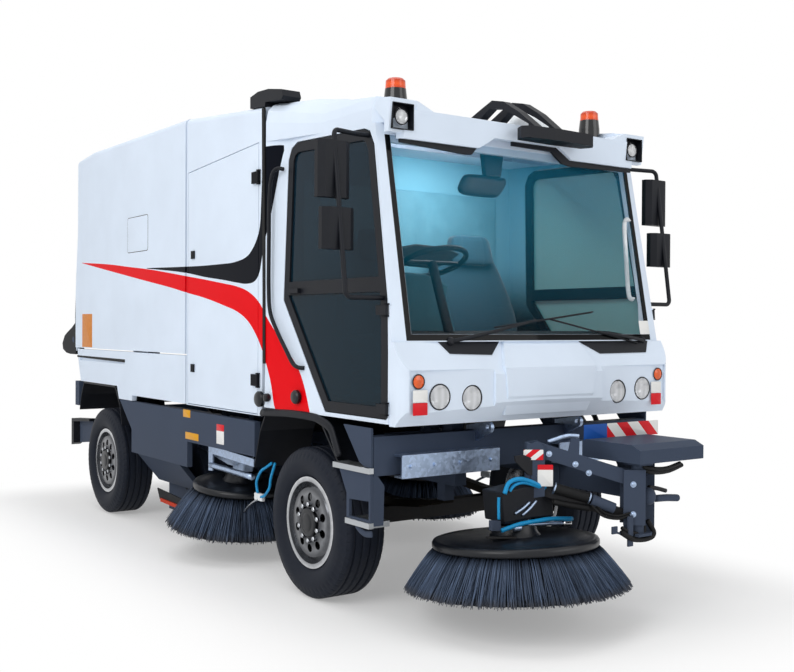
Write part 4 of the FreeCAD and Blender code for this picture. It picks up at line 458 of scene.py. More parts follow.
# ---- node trees ------------------------------------------------------------
class Graph:
    """Short ways to add the usual nodes to one node tree."""

    def __init__(self, tree: bpy.types.NodeTree) -> None:
        """Keep the tree that the nodes go into."""
        self.tree = tree

    def add(self, kind: str, inputs: Inputs | None = None, **settings: Any) -> bpy.types.Node:
        """Add one node to this tree, as add_node does."""
        return add_node(self.tree, kind, inputs, **settings)

    @cached_property
    def place(self) -> Socket:
        """Object coordinates, which are metres in the row frame."""
        return self.add("ShaderNodeTexCoord").outputs["Object"]

    @cached_property
    def axes(self) -> tuple[Socket, Socket, Socket]:
        """X, Y and Z of the place."""
        parts = self.add("ShaderNodeSeparateXYZ", {"Vector": self.place}).outputs
        return parts["X"], parts["Y"], parts["Z"]

    def math(self, operation: str, *values: Socket | float, **settings: Any) -> Socket:
        """Result of a sum, product or test on sockets and numbers."""
        return self.add("ShaderNodeMath", dict(enumerate(values)), operation=operation, **settings).outputs["Value"]

    def every(self, *tests: Socket) -> Socket:
        """1 where all the tests are 1: their product."""
        return reduce(lambda first, second: self.math("MULTIPLY", first, second), tests)

    def either(self, *tests: Socket) -> Socket:
        """1 where one of the tests is 1: their maximum."""
        return reduce(lambda first, second: self.math("MAXIMUM", first, second), tests)

    def vector(self, operation: str, *values: Socket | Vec) -> Socket:
        """Result of a vector sum, as a vector, or as a number for a length."""
        node = self.add("ShaderNodeVectorMath", dict(enumerate(values)), operation=operation)
        return node.outputs["Value" if operation == "LENGTH" else "Vector"]

    def span(self, value: Socket, start: float = 0.0, end: float = 1.0, low: float = 0.0, high: float = 1.0,
             **settings: Any) -> Socket:
        """Value carried from the range start to end over to the range low to high.

        Formula: low + (high - low) * (value - start) / (end - start), kept between low and high.

        Args:
            value: what is carried over.
            start: value that becomes low.
            end: value that becomes high.
            low: result at start.
            high: result at end.
            settings: attributes of the node, such as how the ends ease.

        Returns:
            The result.
        """
        limits = {"Value": value, "From Min": start, "From Max": end, "To Min": low, "To Max": high}
        return self.add("ShaderNodeMapRange", limits, **settings).outputs["Result"]

    def eased(self, value: Socket, start: float, end: float, low: float = 0.0) -> Socket:
        """Value carried from start to end over to low to 1, flat at both ends."""
        return self.span(value, start, end, low, interpolation_type="SMOOTHSTEP")

    def mix(self, factor: Socket | float, first: Any, second: Any, **settings: Any) -> Socket:
        """Colour between two colours, the second where the factor is 1."""
        return self.add("ShaderNodeMix", {"Factor": factor, 6: first, 7: second}, data_type="RGBA",
                        **settings).outputs[2]

    def ramp(self, value: Socket, *stops: tuple[float, Colour]) -> Socket:
        """Colour read from a ramp.

        Args:
            value: place on the ramp.
            stops: (position, colour) of each stop, in order.

        Returns:
            The colour.
        """
        node = self.add("ShaderNodeValToRGB", {"Fac": value})
        elements = node.color_ramp.elements
        for element, (position, colour) in ((elements[0], stops[0]), (elements[1], stops[-1])):
            element.position, element.color = position, colour
        for position, colour in stops[1:-1]:
            elements.new(position).color = colour
        return node.outputs["Color"]

    def noise(self, scale: float, detail: float = 2.0, roughness: float = 0.5, place: Socket | None = None) -> Socket:
        """Cloudy pattern between 0 and 1, scale cycles to the metre."""
        return self.add("ShaderNodeTexNoise", {"Vector": place or self.place, "Scale": scale, "Detail": detail,
                                               "Roughness": roughness}).outputs["Fac"]

    def cells(self, size_mm: float, output: str = "Distance", **settings: Any) -> Socket:
        """Cells size_mm across: the distance from their middles, or their colours."""
        return self.add("ShaderNodeTexVoronoi", {"Vector": self.place, "Scale": MM / size_mm},
                        **settings).outputs[output]

    def bands(self, size_mm: float, direction: str, distortion: float = 0.0) -> Socket:
        """Waves size_mm apart along one axis."""
        return self.add("ShaderNodeTexWave", {"Vector": self.place, "Scale": MM / size_mm / WAVE_CYCLES,
                                              "Distortion": distortion}, bands_direction=direction).outputs["Fac"]

    def stretched(self, x: float, y: float, z: float) -> Socket:
        """Place with each axis scaled."""
        return self.add("ShaderNodeMapping", {"Vector": self.place, "Scale": (x, y, z)}).outputs["Vector"]

    def stored(self, name: str) -> Socket:
        """Number stored on the piece's points under a name."""
        return self.add("ShaderNodeAttribute", attribute_name=name).outputs["Fac"]

    def relief(self, height: Socket, strength: float, depth_mm: float) -> Socket:
        """Normal bent by a height pattern that is depth_mm deep."""
        return self.add("ShaderNodeBump", {"Height": height, "Strength": strength,
                                           "Distance": depth_mm / MM}).outputs["Normal"]

    def seen(self) -> Socket:
        """1 for rays from the camera, off a gloss or through glass, 0 for spread light."""
        rays = self.add("ShaderNodeLightPath").outputs
        return self.either(rays["Is Camera Ray"], rays["Is Glossy Ray"], rays["Is Transmission Ray"])


# ---- finishes --------------------------------------------------------------
class Texture(Enum):
    """How a metal's surface was made."""

    POLISHED = "polished"
    SPANGLED = "hot-dip galvanised"
    BRUSHED = "brushed"
    CAST = "cast or scaled"


@dataclass(frozen=True)
class Finish:
    """A finish: its material's name and the name of a slot, which nothing in this script reads."""

    name: str
    slot: str

    def material(self) -> bpy.types.Material:
        """Material of this finish, made on first use.

        Returns:
            The material.
        """
        made = bpy.data.materials.get(self.name)
        if made is None:
            made = bpy.data.materials.new(self.name)
            made.use_nodes = True
            tree = made.node_tree
            feed(tree, tree.nodes["Principled BSDF"], self.paint(Graph(tree)))
        return made

    def paint(self, graph: Graph) -> Inputs:
        """Build the finish's nodes.

        Args:
            graph: node tree of the material.

        Returns:
            What goes into the shader's inputs, by their names.
        """
        raise NotImplementedError


@dataclass(frozen=True)
class Enamel(Finish):
    """Sprayed two-pack enamel: a fine orange peel under a clear gloss, road dust low down.

    The real peel is about 2 mm from crest to crest; it is drawn at peel_mm so that it shows.
    """

    colour: str = "#E1EDFC"
    roughness: float = 0.36
    coat: float = 0.02
    specular: float = 0.03
    peel_mm: float = 9.0
    dust: str = "#A7A298"
    dust_share: float = 0.05
    dust_height: float = 1.25                # height at which the dust starts
    dust_full: float = 0.35                  # height at which there is most of it

    def base(self, graph: Graph) -> Socket:
        """Colour of the clean paint, a shade uneven as sprayed.

        Args:
            graph: node tree of the material.

        Returns:
            The colour.
        """
        return graph.ramp(graph.noise(2.5, 3.0), (0.3, toned(self.colour, 0.94)), (0.7, linear(self.colour)))

    def paint(self, graph: Graph) -> Inputs:
        """Clean colour, dust thickening towards the road, orange peel and clear gloss.

        Args:
            graph: node tree of the material.

        Returns:
            What goes into the shader's inputs, by their names.
        """
        low = graph.span(graph.axes[2], self.dust_height, self.dust_full)
        splash = graph.noise(1.6, 6.0, 0.65, graph.stretched(9.0, 9.0, 2.2))
        amount = graph.math("MULTIPLY", graph.math("MULTIPLY", low, splash), self.dust_share * 2, use_clamp=True)
        return {"Base Color": graph.mix(amount, self.base(graph), linear(self.dust)),
                "Roughness": graph.span(amount, low=self.roughness, high=0.8),
                "Coat Weight": self.coat, "Coat Roughness": 0.08, "Specular IOR Level": self.specular,
                "Normal": graph.relief(graph.noise(MM / self.peel_mm, 1.0), strength=0.06, depth_mm=0.6)}


STRIPE_SPAN = (-4.0, 0.2)                    # stations that the stripe curves cover
STRIPE_RISE = (1.0, 3.0)                     # heights that the stripe curves cover
# stripe edges along both sides: (station forward of the front axle, height)
RED_TOP = ((-3.99, 2.169), (-3.275, 2.122), (-2.816, 2.081), (-2.394, 2.044), (-2.005, 2.002), (-1.698, 1.967),
           (-1.393, 1.933), (-1.077, 1.895), (-0.899, 1.872), (-0.729, 1.832), (-0.578, 1.757), (-0.498, 1.68),
           (-0.393, 1.589), (-0.255, 1.481), (-0.144, 1.406), (-0.072, 1.343), (-0.013, 1.264), (0.073, 1.09))
RED_LOW = ((-3.99, 2.166), (-3.275, 2.067), (-2.815, 2.004), (-2.393, 1.947), (-2.004, 1.895), (-1.697, 1.848),
           (-1.392, 1.804), (-1.075, 1.745), (-0.897, 1.706), (-0.755, 1.651), (-0.644, 1.572), (-0.568, 1.494),
           (-0.508, 1.41), (-0.469, 1.342), (-0.416, 1.244), (-0.357, 1.1), (-0.3, 1.06), (0.073, 1.05))
NAVY_TOP = ((-2.46, 2.058), (-1.698, 2.037), (-1.394, 2.031), (-1.078, 2.03), (-0.9, 2.037), (-0.758, 2.062),
            (-0.676, 2.109), (-0.609, 2.181), (-0.575, 2.254), (-0.55, 2.6), (-0.535, 2.74), (-0.319, 2.725),
            (-0.312, 1.9), (0.073, 1.9))
NAVY_LOW = ((-2.46, 2.054), (-1.698, 1.99), (-1.393, 1.951), (-1.077, 1.918), (-0.899, 1.897), (-0.757, 1.885),
            (-0.647, 1.898), (-0.58, 1.953), (-0.545, 2.06), (-0.513, 2.15), (-0.487, 2.199), (-0.319, 2.725),
            (-0.312, 2.74), (0.073, 2.76))


@dataclass(frozen=True)
class StripedEnamel(Enamel):
    """White enamel with a red and a navy stripe film, and black fittings proud of the skin.

    skin_y is how far out the skin reaches 1.1 m above the road, and lean how much it comes in
    for each metre above that.  Fittings start fitting_from ahead of the front axle.  A lined
    shell has a head lining inside, with painted shade that darkens it downwards and towards the
    driver's side, and painted light high up on the passenger's side.
    """

    skin_y: float = SKIN_Y
    lean: float = 0.0
    red: str = "#E60513"
    navy: str = "#050914"
    fitting: str = "#121419"
    fitting_from: float = -9.0
    ears_behind: float = -9.0
    lined: bool = False
    film_depth: float = 0.016                # stripes end this far inside the skin
    lining_depth: float = 0.022              # lining starts this far inside the skin
    # colours of the lining's painted shade, low down and on the driver's side, and of its painted light, high up on
    # the passenger's side
    lining_painted_shade: str = "#10181D"
    lining_painted_light: str = "#79B4CA"

    def edge(self, graph: Graph, share: Socket, line: Sequence[Vec]) -> Socket:
        """Height of a stripe's edge.

        Args:
            graph: node tree of the material.
            share: station, as a share of STRIPE_SPAN.
            line: (station, height) points of the edge.

        Returns:
            The height, as a share of STRIPE_RISE.
        """
        curve = graph.add("ShaderNodeFloatCurve", {"Factor": 1.0, "Value": share})
        points = curve.mapping.curves[0].points
        spots = [((x - STRIPE_SPAN[0]) / (STRIPE_SPAN[1] - STRIPE_SPAN[0]),
                  (z - STRIPE_RISE[0]) / (STRIPE_RISE[1] - STRIPE_RISE[0])) for x, z in line]
        points[0].location, points[1].location = spots[0], spots[-1]
        for spot in spots[1:-1]:
            points.new(*spot)
        for point in points:
            point.handle_type = "AUTO_CLAMPED"
        curve.mapping.update()
        return curve.outputs["Value"]

    def base(self, graph: Graph) -> Socket:
        """White, then each stripe where the height lies between its edges, then the fittings.

        Args:
            graph: node tree of the material.

        Returns:
            The colour.
        """
        colour = Enamel.base(self, graph)
        x, y, z = graph.axes
        share = graph.span(x, *(AXLE_X + end for end in STRIPE_SPAN))
        height = graph.span(z, *STRIPE_RISE)
        out = graph.math("ABSOLUTE", y)
        edge = self.skin_y + 0.0015
        skin = graph.span(z, 1.1, 3.1, edge, edge - 2 * self.lean, clamp=False)
        flank = graph.math("LESS_THAN", graph.math("SUBTRACT", skin, out), self.film_depth)
        for top, low, tint in ((RED_TOP, RED_LOW, self.red), (NAVY_TOP, NAVY_LOW, self.navy)):
            inside = graph.every(flank, graph.math("LESS_THAN", height, self.edge(graph, share, top)),
                                 graph.math("GREATER_THAN", height, self.edge(graph, share, low)),
                                 graph.math("GREATER_THAN", x, AXLE_X + top[0][0]))
            colour = graph.mix(inside, colour, linear(tint))
        proud = graph.every(graph.math("GREATER_THAN", out, skin),
                            graph.math("GREATER_THAN", x, AXLE_X + self.fitting_from))
        ears = graph.math("LESS_THAN", x, AXLE_X + self.ears_behind)
        for spot in (proud, ears):
            colour = graph.mix(spot, colour, linear(self.fitting))
        return self.lining(graph, graph.math("SUBTRACT", skin, out), colour) if self.lined else colour

    def lining(self, graph: Graph, depth: Socket, colour: Socket) -> Socket:
        """Colour with the trim inside the shell, within the skin and behind the screen's frame, painted with shade
        and light.

        Formula: the frame's plane is where the station plus 0.2 times the height is 1.12 m ahead
        of the front axle; the rear wall is 0.62 m behind it.

        Args:
            graph: node tree of the material.
            depth: how far inside the skin a point lies.
            colour: colour outside.

        Returns:
            The colour.
        """
        x, y, z = graph.axes
        inside = graph.every(graph.math("GREATER_THAN", depth, self.lining_depth),
                             graph.math("LESS_THAN", graph.math("MULTIPLY_ADD", z, 0.2, x), AXLE_X + 1.12),
                             graph.math("GREATER_THAN", x, AXLE_X - 0.62))
        # painted light high up and towards the passenger's side, painted shade lower down and towards the driver's
        # side
        light = graph.math("MULTIPLY", graph.eased(z, 1.6, 2.1), graph.eased(y, -0.55, 0.0))
        return graph.mix(inside, colour, graph.mix(light, linear(self.lining_painted_shade), linear(self.lining_painted_light)))


@dataclass(frozen=True)
class Moulded(Finish):
    """Injection-moulded plastic: a spark-eroded grain that breaks up the highlight.

    The real grain is under 1 mm; it is drawn at grain_mm so that it shows.
    """

    colour: str = "#0E1118"
    roughness: float = 0.5
    grain_mm: float = 4.0
    specular: float = 0.22

    def paint(self, graph: Graph) -> Inputs:
        """Plain colour, scuffed lighter in patches, over a cell grain.

        Args:
            graph: node tree of the material.

        Returns:
            What goes into the shader's inputs, by their names.
        """
        scuff = graph.noise(7.0, 8.0, 0.7)
        return {"Base Color": graph.ramp(scuff, (0.35, linear(self.colour)), (0.75, toned(self.colour, 1.35, 0.003))),
                "Specular IOR Level": self.specular,
                "Roughness": graph.span(scuff, low=self.roughness - 0.1, high=self.roughness + 0.15),
                "Normal": graph.relief(graph.cells(self.grain_mm), strength=0.12, depth_mm=0.5)}


@dataclass(frozen=True)
class Rubber(Finish):
    """Vulcanised rubber: matt black greyed by road dust, finely pitted."""

    colour: str = "#121824"
    dust: str = "#22242A"
    pit_mm: float = 6.0

    def paint(self, graph: Graph) -> Inputs:
        """Black and dust mixed by a blotchy pattern, with pits.

        Args:
            graph: node tree of the material.

        Returns:
            What goes into the shader's inputs, by their names.
        """
        share = graph.span(graph.noise(11.0, 7.0, 0.62), 0.42, 0.8, high=0.4)
        return {"Base Color": graph.mix(share, linear(self.colour), linear(self.dust)), "Roughness": 0.62,
                "Specular IOR Level": 0.2,
                "Normal": graph.relief(graph.noise(MM / self.pit_mm), strength=0.25, depth_mm=0.8)}


@dataclass(frozen=True)
class Metal(Finish):
    """Bare or plated metal; the texture says how its surface was made."""

    colour: str = "#C9CCD0"
    roughness: float = 0.25
    texture: Texture = Texture.POLISHED

    def pattern(self, graph: Graph) -> tuple[Socket, float, float]:
        """Spangles 16 mm across, brush lines, scale 5 mm across or a faint haze.

        Args:
            graph: node tree of the material.

        Returns:
            The pattern, how far it spreads the tone and the gloss, and its depth in millimetres.
        """
        if self.texture is Texture.SPANGLED:
            return graph.add("ShaderNodeRGBToBW", {"Color": graph.cells(16.0, "Color")}).outputs["Val"], 0.22, 0.15
        if self.texture is Texture.BRUSHED:
            return graph.noise(1.0, place=graph.stretched(8.0, 8.0, 900.0)), 0.2, 0.2
        if self.texture is Texture.CAST:
            return graph.noise(MM / 5.0, 5.0), 0.3, 0.9
        return graph.noise(14.0, 6.0), 0.12, 0.1

    def paint(self, graph: Graph) -> Inputs:
        """Metal tinted and roughened by its pattern.

        Args:
            graph: node tree of the material.

        Returns:
            What goes into the shader's inputs, by their names.
        """
        value, spread, depth = self.pattern(graph)
        return {"Metallic": 1.0,
                "Base Color": graph.ramp(value, (0.25, toned(self.colour, 1 - spread)), (0.75, linear(self.colour))),
                "Roughness": graph.span(value, low=max(self.roughness - spread / 2, 0.04),
                                        high=self.roughness + spread / 2),
                "Normal": graph.relief(value, strength=0.2, depth_mm=depth)}


@dataclass(frozen=True)
class WheelMetal(Finish):
    """Polished wheel: painted highlight on the outer ring, painted shade darkening the disc towards the axle; station
    is its axle in the row frame.
    """

    station: float = 0.0
    height: float = 0.4475
    reach: float = 0.30                      # distance from the axle that the tones are spread over
    # painted shade darkens the disc towards the axle and a painted highlight brightens the outer ring
    shade_and_highlight_tones: tuple[tuple[float, str], ...] = (
        (0.30, "#2E3034"), (0.42, "#54565A"), (0.56, "#86888C"), (0.66, "#5A5C60"), (0.74, "#6C6E72"),
        (0.82, "#A9ABAF"), (0.90, "#D6D8DB"))

    def paint(self, graph: Graph) -> Inputs:
        """Painted shade and highlight by the distance from the axle, mottled by a fine noise.

        Formula: the tone is read at the length of (X - station, Z - height) over the reach.

        Args:
            graph: node tree of the material.

        Returns:
            What goes into the shader's inputs, by their names.
        """
        away = graph.vector("SUBTRACT", graph.place, (self.station, 0.0, self.height))
        far = graph.vector("LENGTH", graph.vector("MULTIPLY", away, (1.0, 0.0, 1.0)))
        tone = graph.ramp(graph.math("DIVIDE", far, self.reach),
                          *((position, linear(code)) for position, code in self.shade_and_highlight_tones))
        grime = graph.noise(22.0, 5.0)
        return {"Metallic": 1.0, "Normal": graph.relief(grime, strength=0.1, depth_mm=0.1),
                "Base Color": graph.mix(1.0, tone, graph.span(grime, 0.3, 0.7, 0.72), blend_type="MULTIPLY"),
                "Roughness": graph.span(grime, low=0.1, high=0.34)}


@dataclass(frozen=True)
class Glazing(Finish):
    """Laminated tinted glass with a baked black ceramic border.

    low and high are the heights of the clear part, and half its half width; shade is the colour
    at the bottom, the middle and the top of the pane: the glass's tint with painted shade and painted light in it.
    """

    # windscreen: the dark bottom is painted shade of the dash and seats; the lighter top is partly a real graded band
    # and partly a painted reflection of the sky
    shade: tuple[str, str, str] = ("#04222E", "#0B7C99", "#17A0CC")
    alpha: float = 0.12
    low: float = 1.572
    high: float = 2.66
    half: float = 0.912
    ceramic: str = "#0A0B0D"

    def paint(self, graph: Graph) -> Inputs:
        """Graded tint with painted shade and light, see-through inside the border, opaque black in it.

        Args:
            graph: node tree of the material.

        Returns:
            What goes into the shader's inputs, by their names.
        """
        _, y, z = graph.axes
        # the ramp carries painted shade low down and painted light higher up, besides the glass's tint
        tint = graph.ramp(graph.span(z, self.low, self.high), *zip((0.0, 0.5, 1.0), map(linear, self.shade)))
        border = graph.either(graph.math("LESS_THAN", z, self.low), graph.math("GREATER_THAN", z, self.high),
                              graph.math("GREATER_THAN", graph.math("ABSOLUTE", y), self.half))
        return {"Base Color": graph.mix(border, tint, linear(self.ceramic)),
                "Alpha": graph.span(border, low=self.alpha), "Roughness": 0.04, "Specular IOR Level": 0.1,
                "Normal": graph.relief(graph.noise(1.2, 0.0), strength=0.01, depth_mm=1.0)}


@dataclass(frozen=True)
class Lens(Finish):
    """Clear or dyed polycarbonate lens, fluted to spread the light."""

    colour: str = "#F3F5F7"
    alpha: float = 0.35
    flute_mm: float = 7.0

    def paint(self, graph: Graph) -> Inputs:
        """Tinted see-through plastic with upright flutes.

        Args:
            graph: node tree of the material.

        Returns:
            What goes into the shader's inputs, by their names.
        """
        flutes = graph.bands(self.flute_mm, "Y")
        return {"Base Color": graph.ramp(flutes, (0.0, toned(self.colour, 0.82)), (1.0, linear(self.colour))),
                "Alpha": self.alpha, "Roughness": 0.07, "IOR": 1.58,
                "Normal": graph.relief(flutes, strength=0.3, depth_mm=0.6)}


@dataclass(frozen=True)
class Bristle(Finish):
    """Crimped polypropylene bristles: blue-grey, darker at the root with painted shade under the disc, greyer where
    dusty, browned at the tips.
    """

    # the root colour is darker as painted shade under the disc
    root: str = "#1C2431"
    middle: str = "#566680"
    tip: str = "#5E6068"
    crimp_mm: float = 9.0

    def paint(self, graph: Graph) -> Inputs:
        """Root-to-tip colour from the piece's own reach value, with painted shade at the root, uneven from strand to
        strand.

        Args:
            graph: node tree of the material.

        Returns:
            What goes into the shader's inputs, by their names.
        """
        middle = linear(self.middle)
        along = graph.ramp(graph.stored("reach"), (0.0, linear(self.root)), (0.3, middle), (0.82, middle),
                           (1.0, linear(self.tip)))
        dark = graph.span(graph.stored("shade"), low=0.35, high=1.25)
        return {"Base Color": graph.mix(1.0, along, dark, blend_type="MULTIPLY"), "Roughness": 0.5,
                "Specular IOR Level": 0.2,
                "Normal": graph.relief(graph.noise(MM / self.crimp_mm), strength=0.2, depth_mm=0.8)}


@dataclass(frozen=True)
class Tufted(Finish):
    """Packed bristle ends of a roller or of a brush's core: streaked along the bristles."""

    colour: str = "#222A35"
    # painted shade in the gaps between the tufts
    dark: str = "#0B0E13"
    pitch_mm: float = 9.0

    def paint(self, graph: Graph) -> Inputs:
        """Painted shade in the gaps and lighter tufts in a stretched noise.

        Args:
            graph: node tree of the material.

        Returns:
            What goes into the shader's inputs, by their names.
        """
        tufts = graph.noise(MM / self.pitch_mm, 4.0, place=graph.stretched(1.0, 1.0, 0.12))
        return {"Base Color": graph.ramp(tufts, (0.38, linear(self.dark)), (0.62, linear(self.colour))),
                "Roughness": 0.7, "Specular IOR Level": 0.15,
                "Normal": graph.relief(tufts, strength=0.6, depth_mm=6.0)}


@dataclass(frozen=True)
class Cloth(Finish):
    """Woven seat cloth: two threads crossing 1.5 mm apart, drawn at weave_mm so that they show."""

    colour: str = "#1A5D74"
    accent: str = "#113F51"
    weave_mm: float = 4.0

    def paint(self, graph: Graph) -> Inputs:
        """Crossed waves for warp and weft, a soft sheen on top.

        Args:
            graph: node tree of the material.

        Returns:
            What goes into the shader's inputs, by their names.
        """
        weave = graph.math("MULTIPLY", *(graph.bands(self.weave_mm, direction, 0.4) for direction in "YZ"))
        return {"Base Color": graph.mix(weave, linear(self.accent), linear(self.colour)), "Roughness": 0.85,
                "Sheen Weight": 0.3, "Normal": graph.relief(weave, strength=0.4, depth_mm=0.8)}


@dataclass(frozen=True)
class Film(Finish):
    """Retroreflective vinyl film under a clear skin; second is its other colour, if it has one.

    The real honeycomb is about 4 mm across; it is drawn at cell_mm so that it shows.
    """

    colour: str = "#D5202A"
    second: str = ""
    band: float = 0.0
    lean: float = 1.0
    cell_mm: float = 8.0

    def paint(self, graph: Graph) -> Inputs:
        """One colour, or slanted bands of two when band gives their width in metres.

        Args:
            graph: node tree of the material.

        Returns:
            What goes into the shader's inputs, by their names.
        """
        if self.band:
            slant = graph.math("MULTIPLY_ADD", graph.axes[2], self.lean, graph.axes[1])
            choice = graph.math("GREATER_THAN", graph.math("FLOORED_MODULO", slant, 2 * self.band), self.band)
        else:
            choice = graph.noise(30.0)
        cells = graph.cells(self.cell_mm, feature="DISTANCE_TO_EDGE")
        return {"Base Color": graph.mix(choice, linear(self.colour), linear(self.second or self.colour)),
                "Roughness": 0.35, "Specular IOR Level": 0.15,
                "Normal": graph.relief(cells, strength=0.15, depth_mm=0.4)}


@dataclass(frozen=True)
class BeaconDome(Finish):
    """Amber polycarbonate beacon on a black rubber foot, parted at a height."""

    split_z: float = 2.95
    rib_mm: float = 9.0
    amber: str = "#F0560F"
    groove: str = "#C63B08"
    rubber: str = "#121315"

    def paint(self, graph: Graph) -> Inputs:
        """Black below the parting height, ribbed glowing amber above.

        Args:
            graph: node tree of the material.

        Returns:
            What goes into the shader's inputs, by their names.
        """
        ribs = graph.bands(self.rib_mm, "Z")
        above = graph.math("GREATER_THAN", graph.axes[2], self.split_z)
        dome = graph.mix(ribs, linear(self.groove), linear(self.amber))
        return {"Base Color": graph.mix(above, linear(self.rubber), dome), "Roughness": 0.15,
                "Normal": graph.relief(ribs, strength=0.3, depth_mm=0.8)}


WHITE = Enamel("enamel_white", "white_paint")
BODY_WHITE = StripedEnamel("enamel_white_striped_body", "white_paint", ears_behind=-4.16)
CAB_WHITE = StripedEnamel("enamel_white_striped_cab", "white_paint", skin_y=SKIN_Y + 0.006, lean=0.0305,
                          fitting_from=-0.2, lined=True)
SLATE = Enamel("enamel_slate_grey", "grey_paint", colour="#414B5D", roughness=0.5, coat=0.02, dust="#5C5A58",
               dust_share=0.1, dust_height=1.0)
CHARCOAL = Enamel("enamel_charcoal", "dark_steel", colour="#191B20", roughness=0.5, coat=0.0, specular=0.2,
                  dust="#3A3631", dust_share=0.3, dust_height=1.0)
BLACK_ABS = Moulded("moulded_abs_black", "black_plastic")
BLACK_GLOSS = Moulded("moulded_abs_black_gloss", "black_plastic", colour="#0C0F15", roughness=0.3, specular=0.35)
DASH = Moulded("moulded_dash_grey", "dash_plastic", colour="#1D2226", roughness=0.65, grain_mm=5.0)
CONSOLE = Moulded("moulded_console_teal", "dash_plastic", colour="#3F6D7B", roughness=0.6, grain_mm=5.0)
TYRE = Rubber("vulcanised_rubber", "tyre_rubber")
HOSE_BLACK = Rubber("hydraulic_hose_rubber", "tyre_rubber", colour="#101113", dust="#2C2B2A")
SKIRT_RED = Rubber("red_rubber_strip", "tyre_rubber", colour="#C2381B", dust="#8E4A33")
WHEEL_FRONT = WheelMetal("polished_wheel_front", "polished_rim", station=AXLE_X)
WHEEL_REAR = WheelMetal("polished_wheel_rear", "polished_rim", station=AXLE_X - WHEELBASE)
POLISHED = Metal("polished_aluminium", "polished_rim", colour="#A8ABB0", roughness=0.17)
CHROME = Metal("vacuum_chromed_reflector", "lens", colour="#E4E6EA", roughness=0.06)
LINING = Moulded("lining_board_blue", "black_plastic", colour="#5E93A6")
ZINC = Metal("galvanised_steel", "galvanised", colour="#AEC0DA", roughness=0.42, texture=Texture.SPANGLED)
TREAD_ALLOY = Metal("aluminium_chequer_plate", "polished_rim", colour="#BCC0C4", roughness=0.35,
                    texture=Texture.BRUSHED)
CAST_IRON = Metal("cast_iron_scaled", "dark_steel", colour="#26231F", roughness=0.6, texture=Texture.CAST)
SCREEN = Glazing("laminated_glass_teal", "glass")
# both doors have the same glass: the near door's pane is darkened with painted shade and the far door's pane
# lightened with painted light
NEAR_GLASS_PAINTED_SHADE = Glazing("toughened_glass_painted_shade", "glass", shade=("#0C2430", "#0D2633", "#102634"), alpha=0.86,
                     low=1.14, high=2.69, half=1.2)
FAR_GLASS_PAINTED_LIGHT = Glazing("toughened_glass_painted_light", "glass", shade=("#73AEB2", "#76B0B2", "#7AB2B4"), alpha=0.78,
                    low=1.14, high=2.69, half=1.2)
CLEAR_LENS = Lens("polycarbonate_clear", "lens")
AMBER_LENS = Lens("polycarbonate_amber", "amber", colour="#F2600F", alpha=0.93)
RED_LENS = Lens("polycarbonate_red", "amber", colour="#B3121A", alpha=0.95)
BRISTLE = Bristle("polypropylene_bristle", "bristle")
CORE = Tufted("polypropylene_tufts", "bristle")
SEAT_CLOTH = Cloth("woven_seat_cloth", "seat_fabric")
BLUE_HOSE = Moulded("pvc_hose_blue", "black_plastic", colour="#1487BD", roughness=0.35, grain_mm=12.0)
WHITE_PLASTIC = Moulded("moulded_nylon_white", "white_paint", colour="#D9DDE0", roughness=0.4)
RED_FILM = Film("vinyl_red", "amber", colour="#D5202A")
WHITE_FILM = Film("vinyl_white", "white_paint", colour="#E8E8E6")
BLUE_FILM = Film("vinyl_blue", "lens", colour="#1F55A8")
ORANGE_FILM = Film("vinyl_orange", "amber", colour="#DE8A12", second="#C06A18")
YELLOW_FILM = Film("vinyl_yellow", "amber", colour="#DB9B06")
HAZARD_FILM = Film("vinyl_red_white_bands", "amber", colour="#D5202A", second="#E8E8E6", band=0.09)
NARROW_BANDS = Film("vinyl_red_white_narrow", "amber", colour="#E8E8E6", second="#D5202A", band=0.034, lean=-1.0)

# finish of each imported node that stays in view
NODE_FINISH: dict[str, Finish] = {
    "frame": SLATE, "tow_eyes": ZINC, "frame_brackets": SLATE, "roof_intake": BLACK_ABS, "bumper_channels": ZINC,
    "side_skirts": SLATE, "lower_panels": WHITE, "mudguards": BLACK_ABS, "step_units": SLATE,
    "front_axle": CHARCOAL, "rear_axle": CHARCOAL, "leaf_springs": CAST_IRON, "engine": CAST_IRON,
    "brush_hood": SLATE, "cab_shell": CAB_WHITE, "windscreen": SCREEN, "roof_cap": WHITE, "front_panel": WHITE,
    "roof_mirror": BLACK_ABS, "dashboard": DASH, "steering_wheel": BLACK_ABS, "service_bay": BODY_WHITE,
    "brush_bracket": SLATE, "brush_cover": SLATE, "knuckle_left": CAST_IRON, "knuckle_right": CAST_IRON,
    "hopper": BODY_WHITE, "tail_gate": WHITE, "ram_barrels": CHARCOAL, "ram_rods": CHROME, "main_brush": CORE,
    "brush_post": SLATE, "brush_upper_link": SLATE, "brush_lower_link": CHARCOAL, "brush_head": SLATE,
    "rim_front_left": WHEEL_FRONT, "rim_front_right": WHEEL_FRONT, "rim_rear_left": WHEEL_REAR,
    "rim_rear_right": WHEEL_REAR, "door_left": BLACK_ABS, "door_right": BLACK_ABS, "door_glass_left": FAR_GLASS_PAINTED_LIGHT,
    "door_glass_right": NEAR_GLASS_PAINTED_SHADE, "mirror_left": BLACK_ABS, "mirror_right": BLACK_ABS,
    "service_door_left": BODY_WHITE, "service_door_right": BODY_WHITE, "side_arm_left": ZINC,
    "side_arm_right": ZINC,
}


def dress(piece: bpy.types.Object, finish: Finish, body: str = "chassis",
          stands_for: Sequence[str] = ()) -> bpy.types.Object:
    """Give a new piece its finish and the body it rides on.

    Args:
        piece: the new piece.
        finish: its finish.
        body: name of the body it moves with.
        stands_for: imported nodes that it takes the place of.

    Returns:
        The piece.
    """
    piece.data.materials.clear()
    piece.data.materials.append(finish.material())
    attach(piece, body)
    if stands_for:
        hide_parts(*stands_for)
    LOG.info("%s: %s on %s", piece.name, finish.name, body)
    return piece


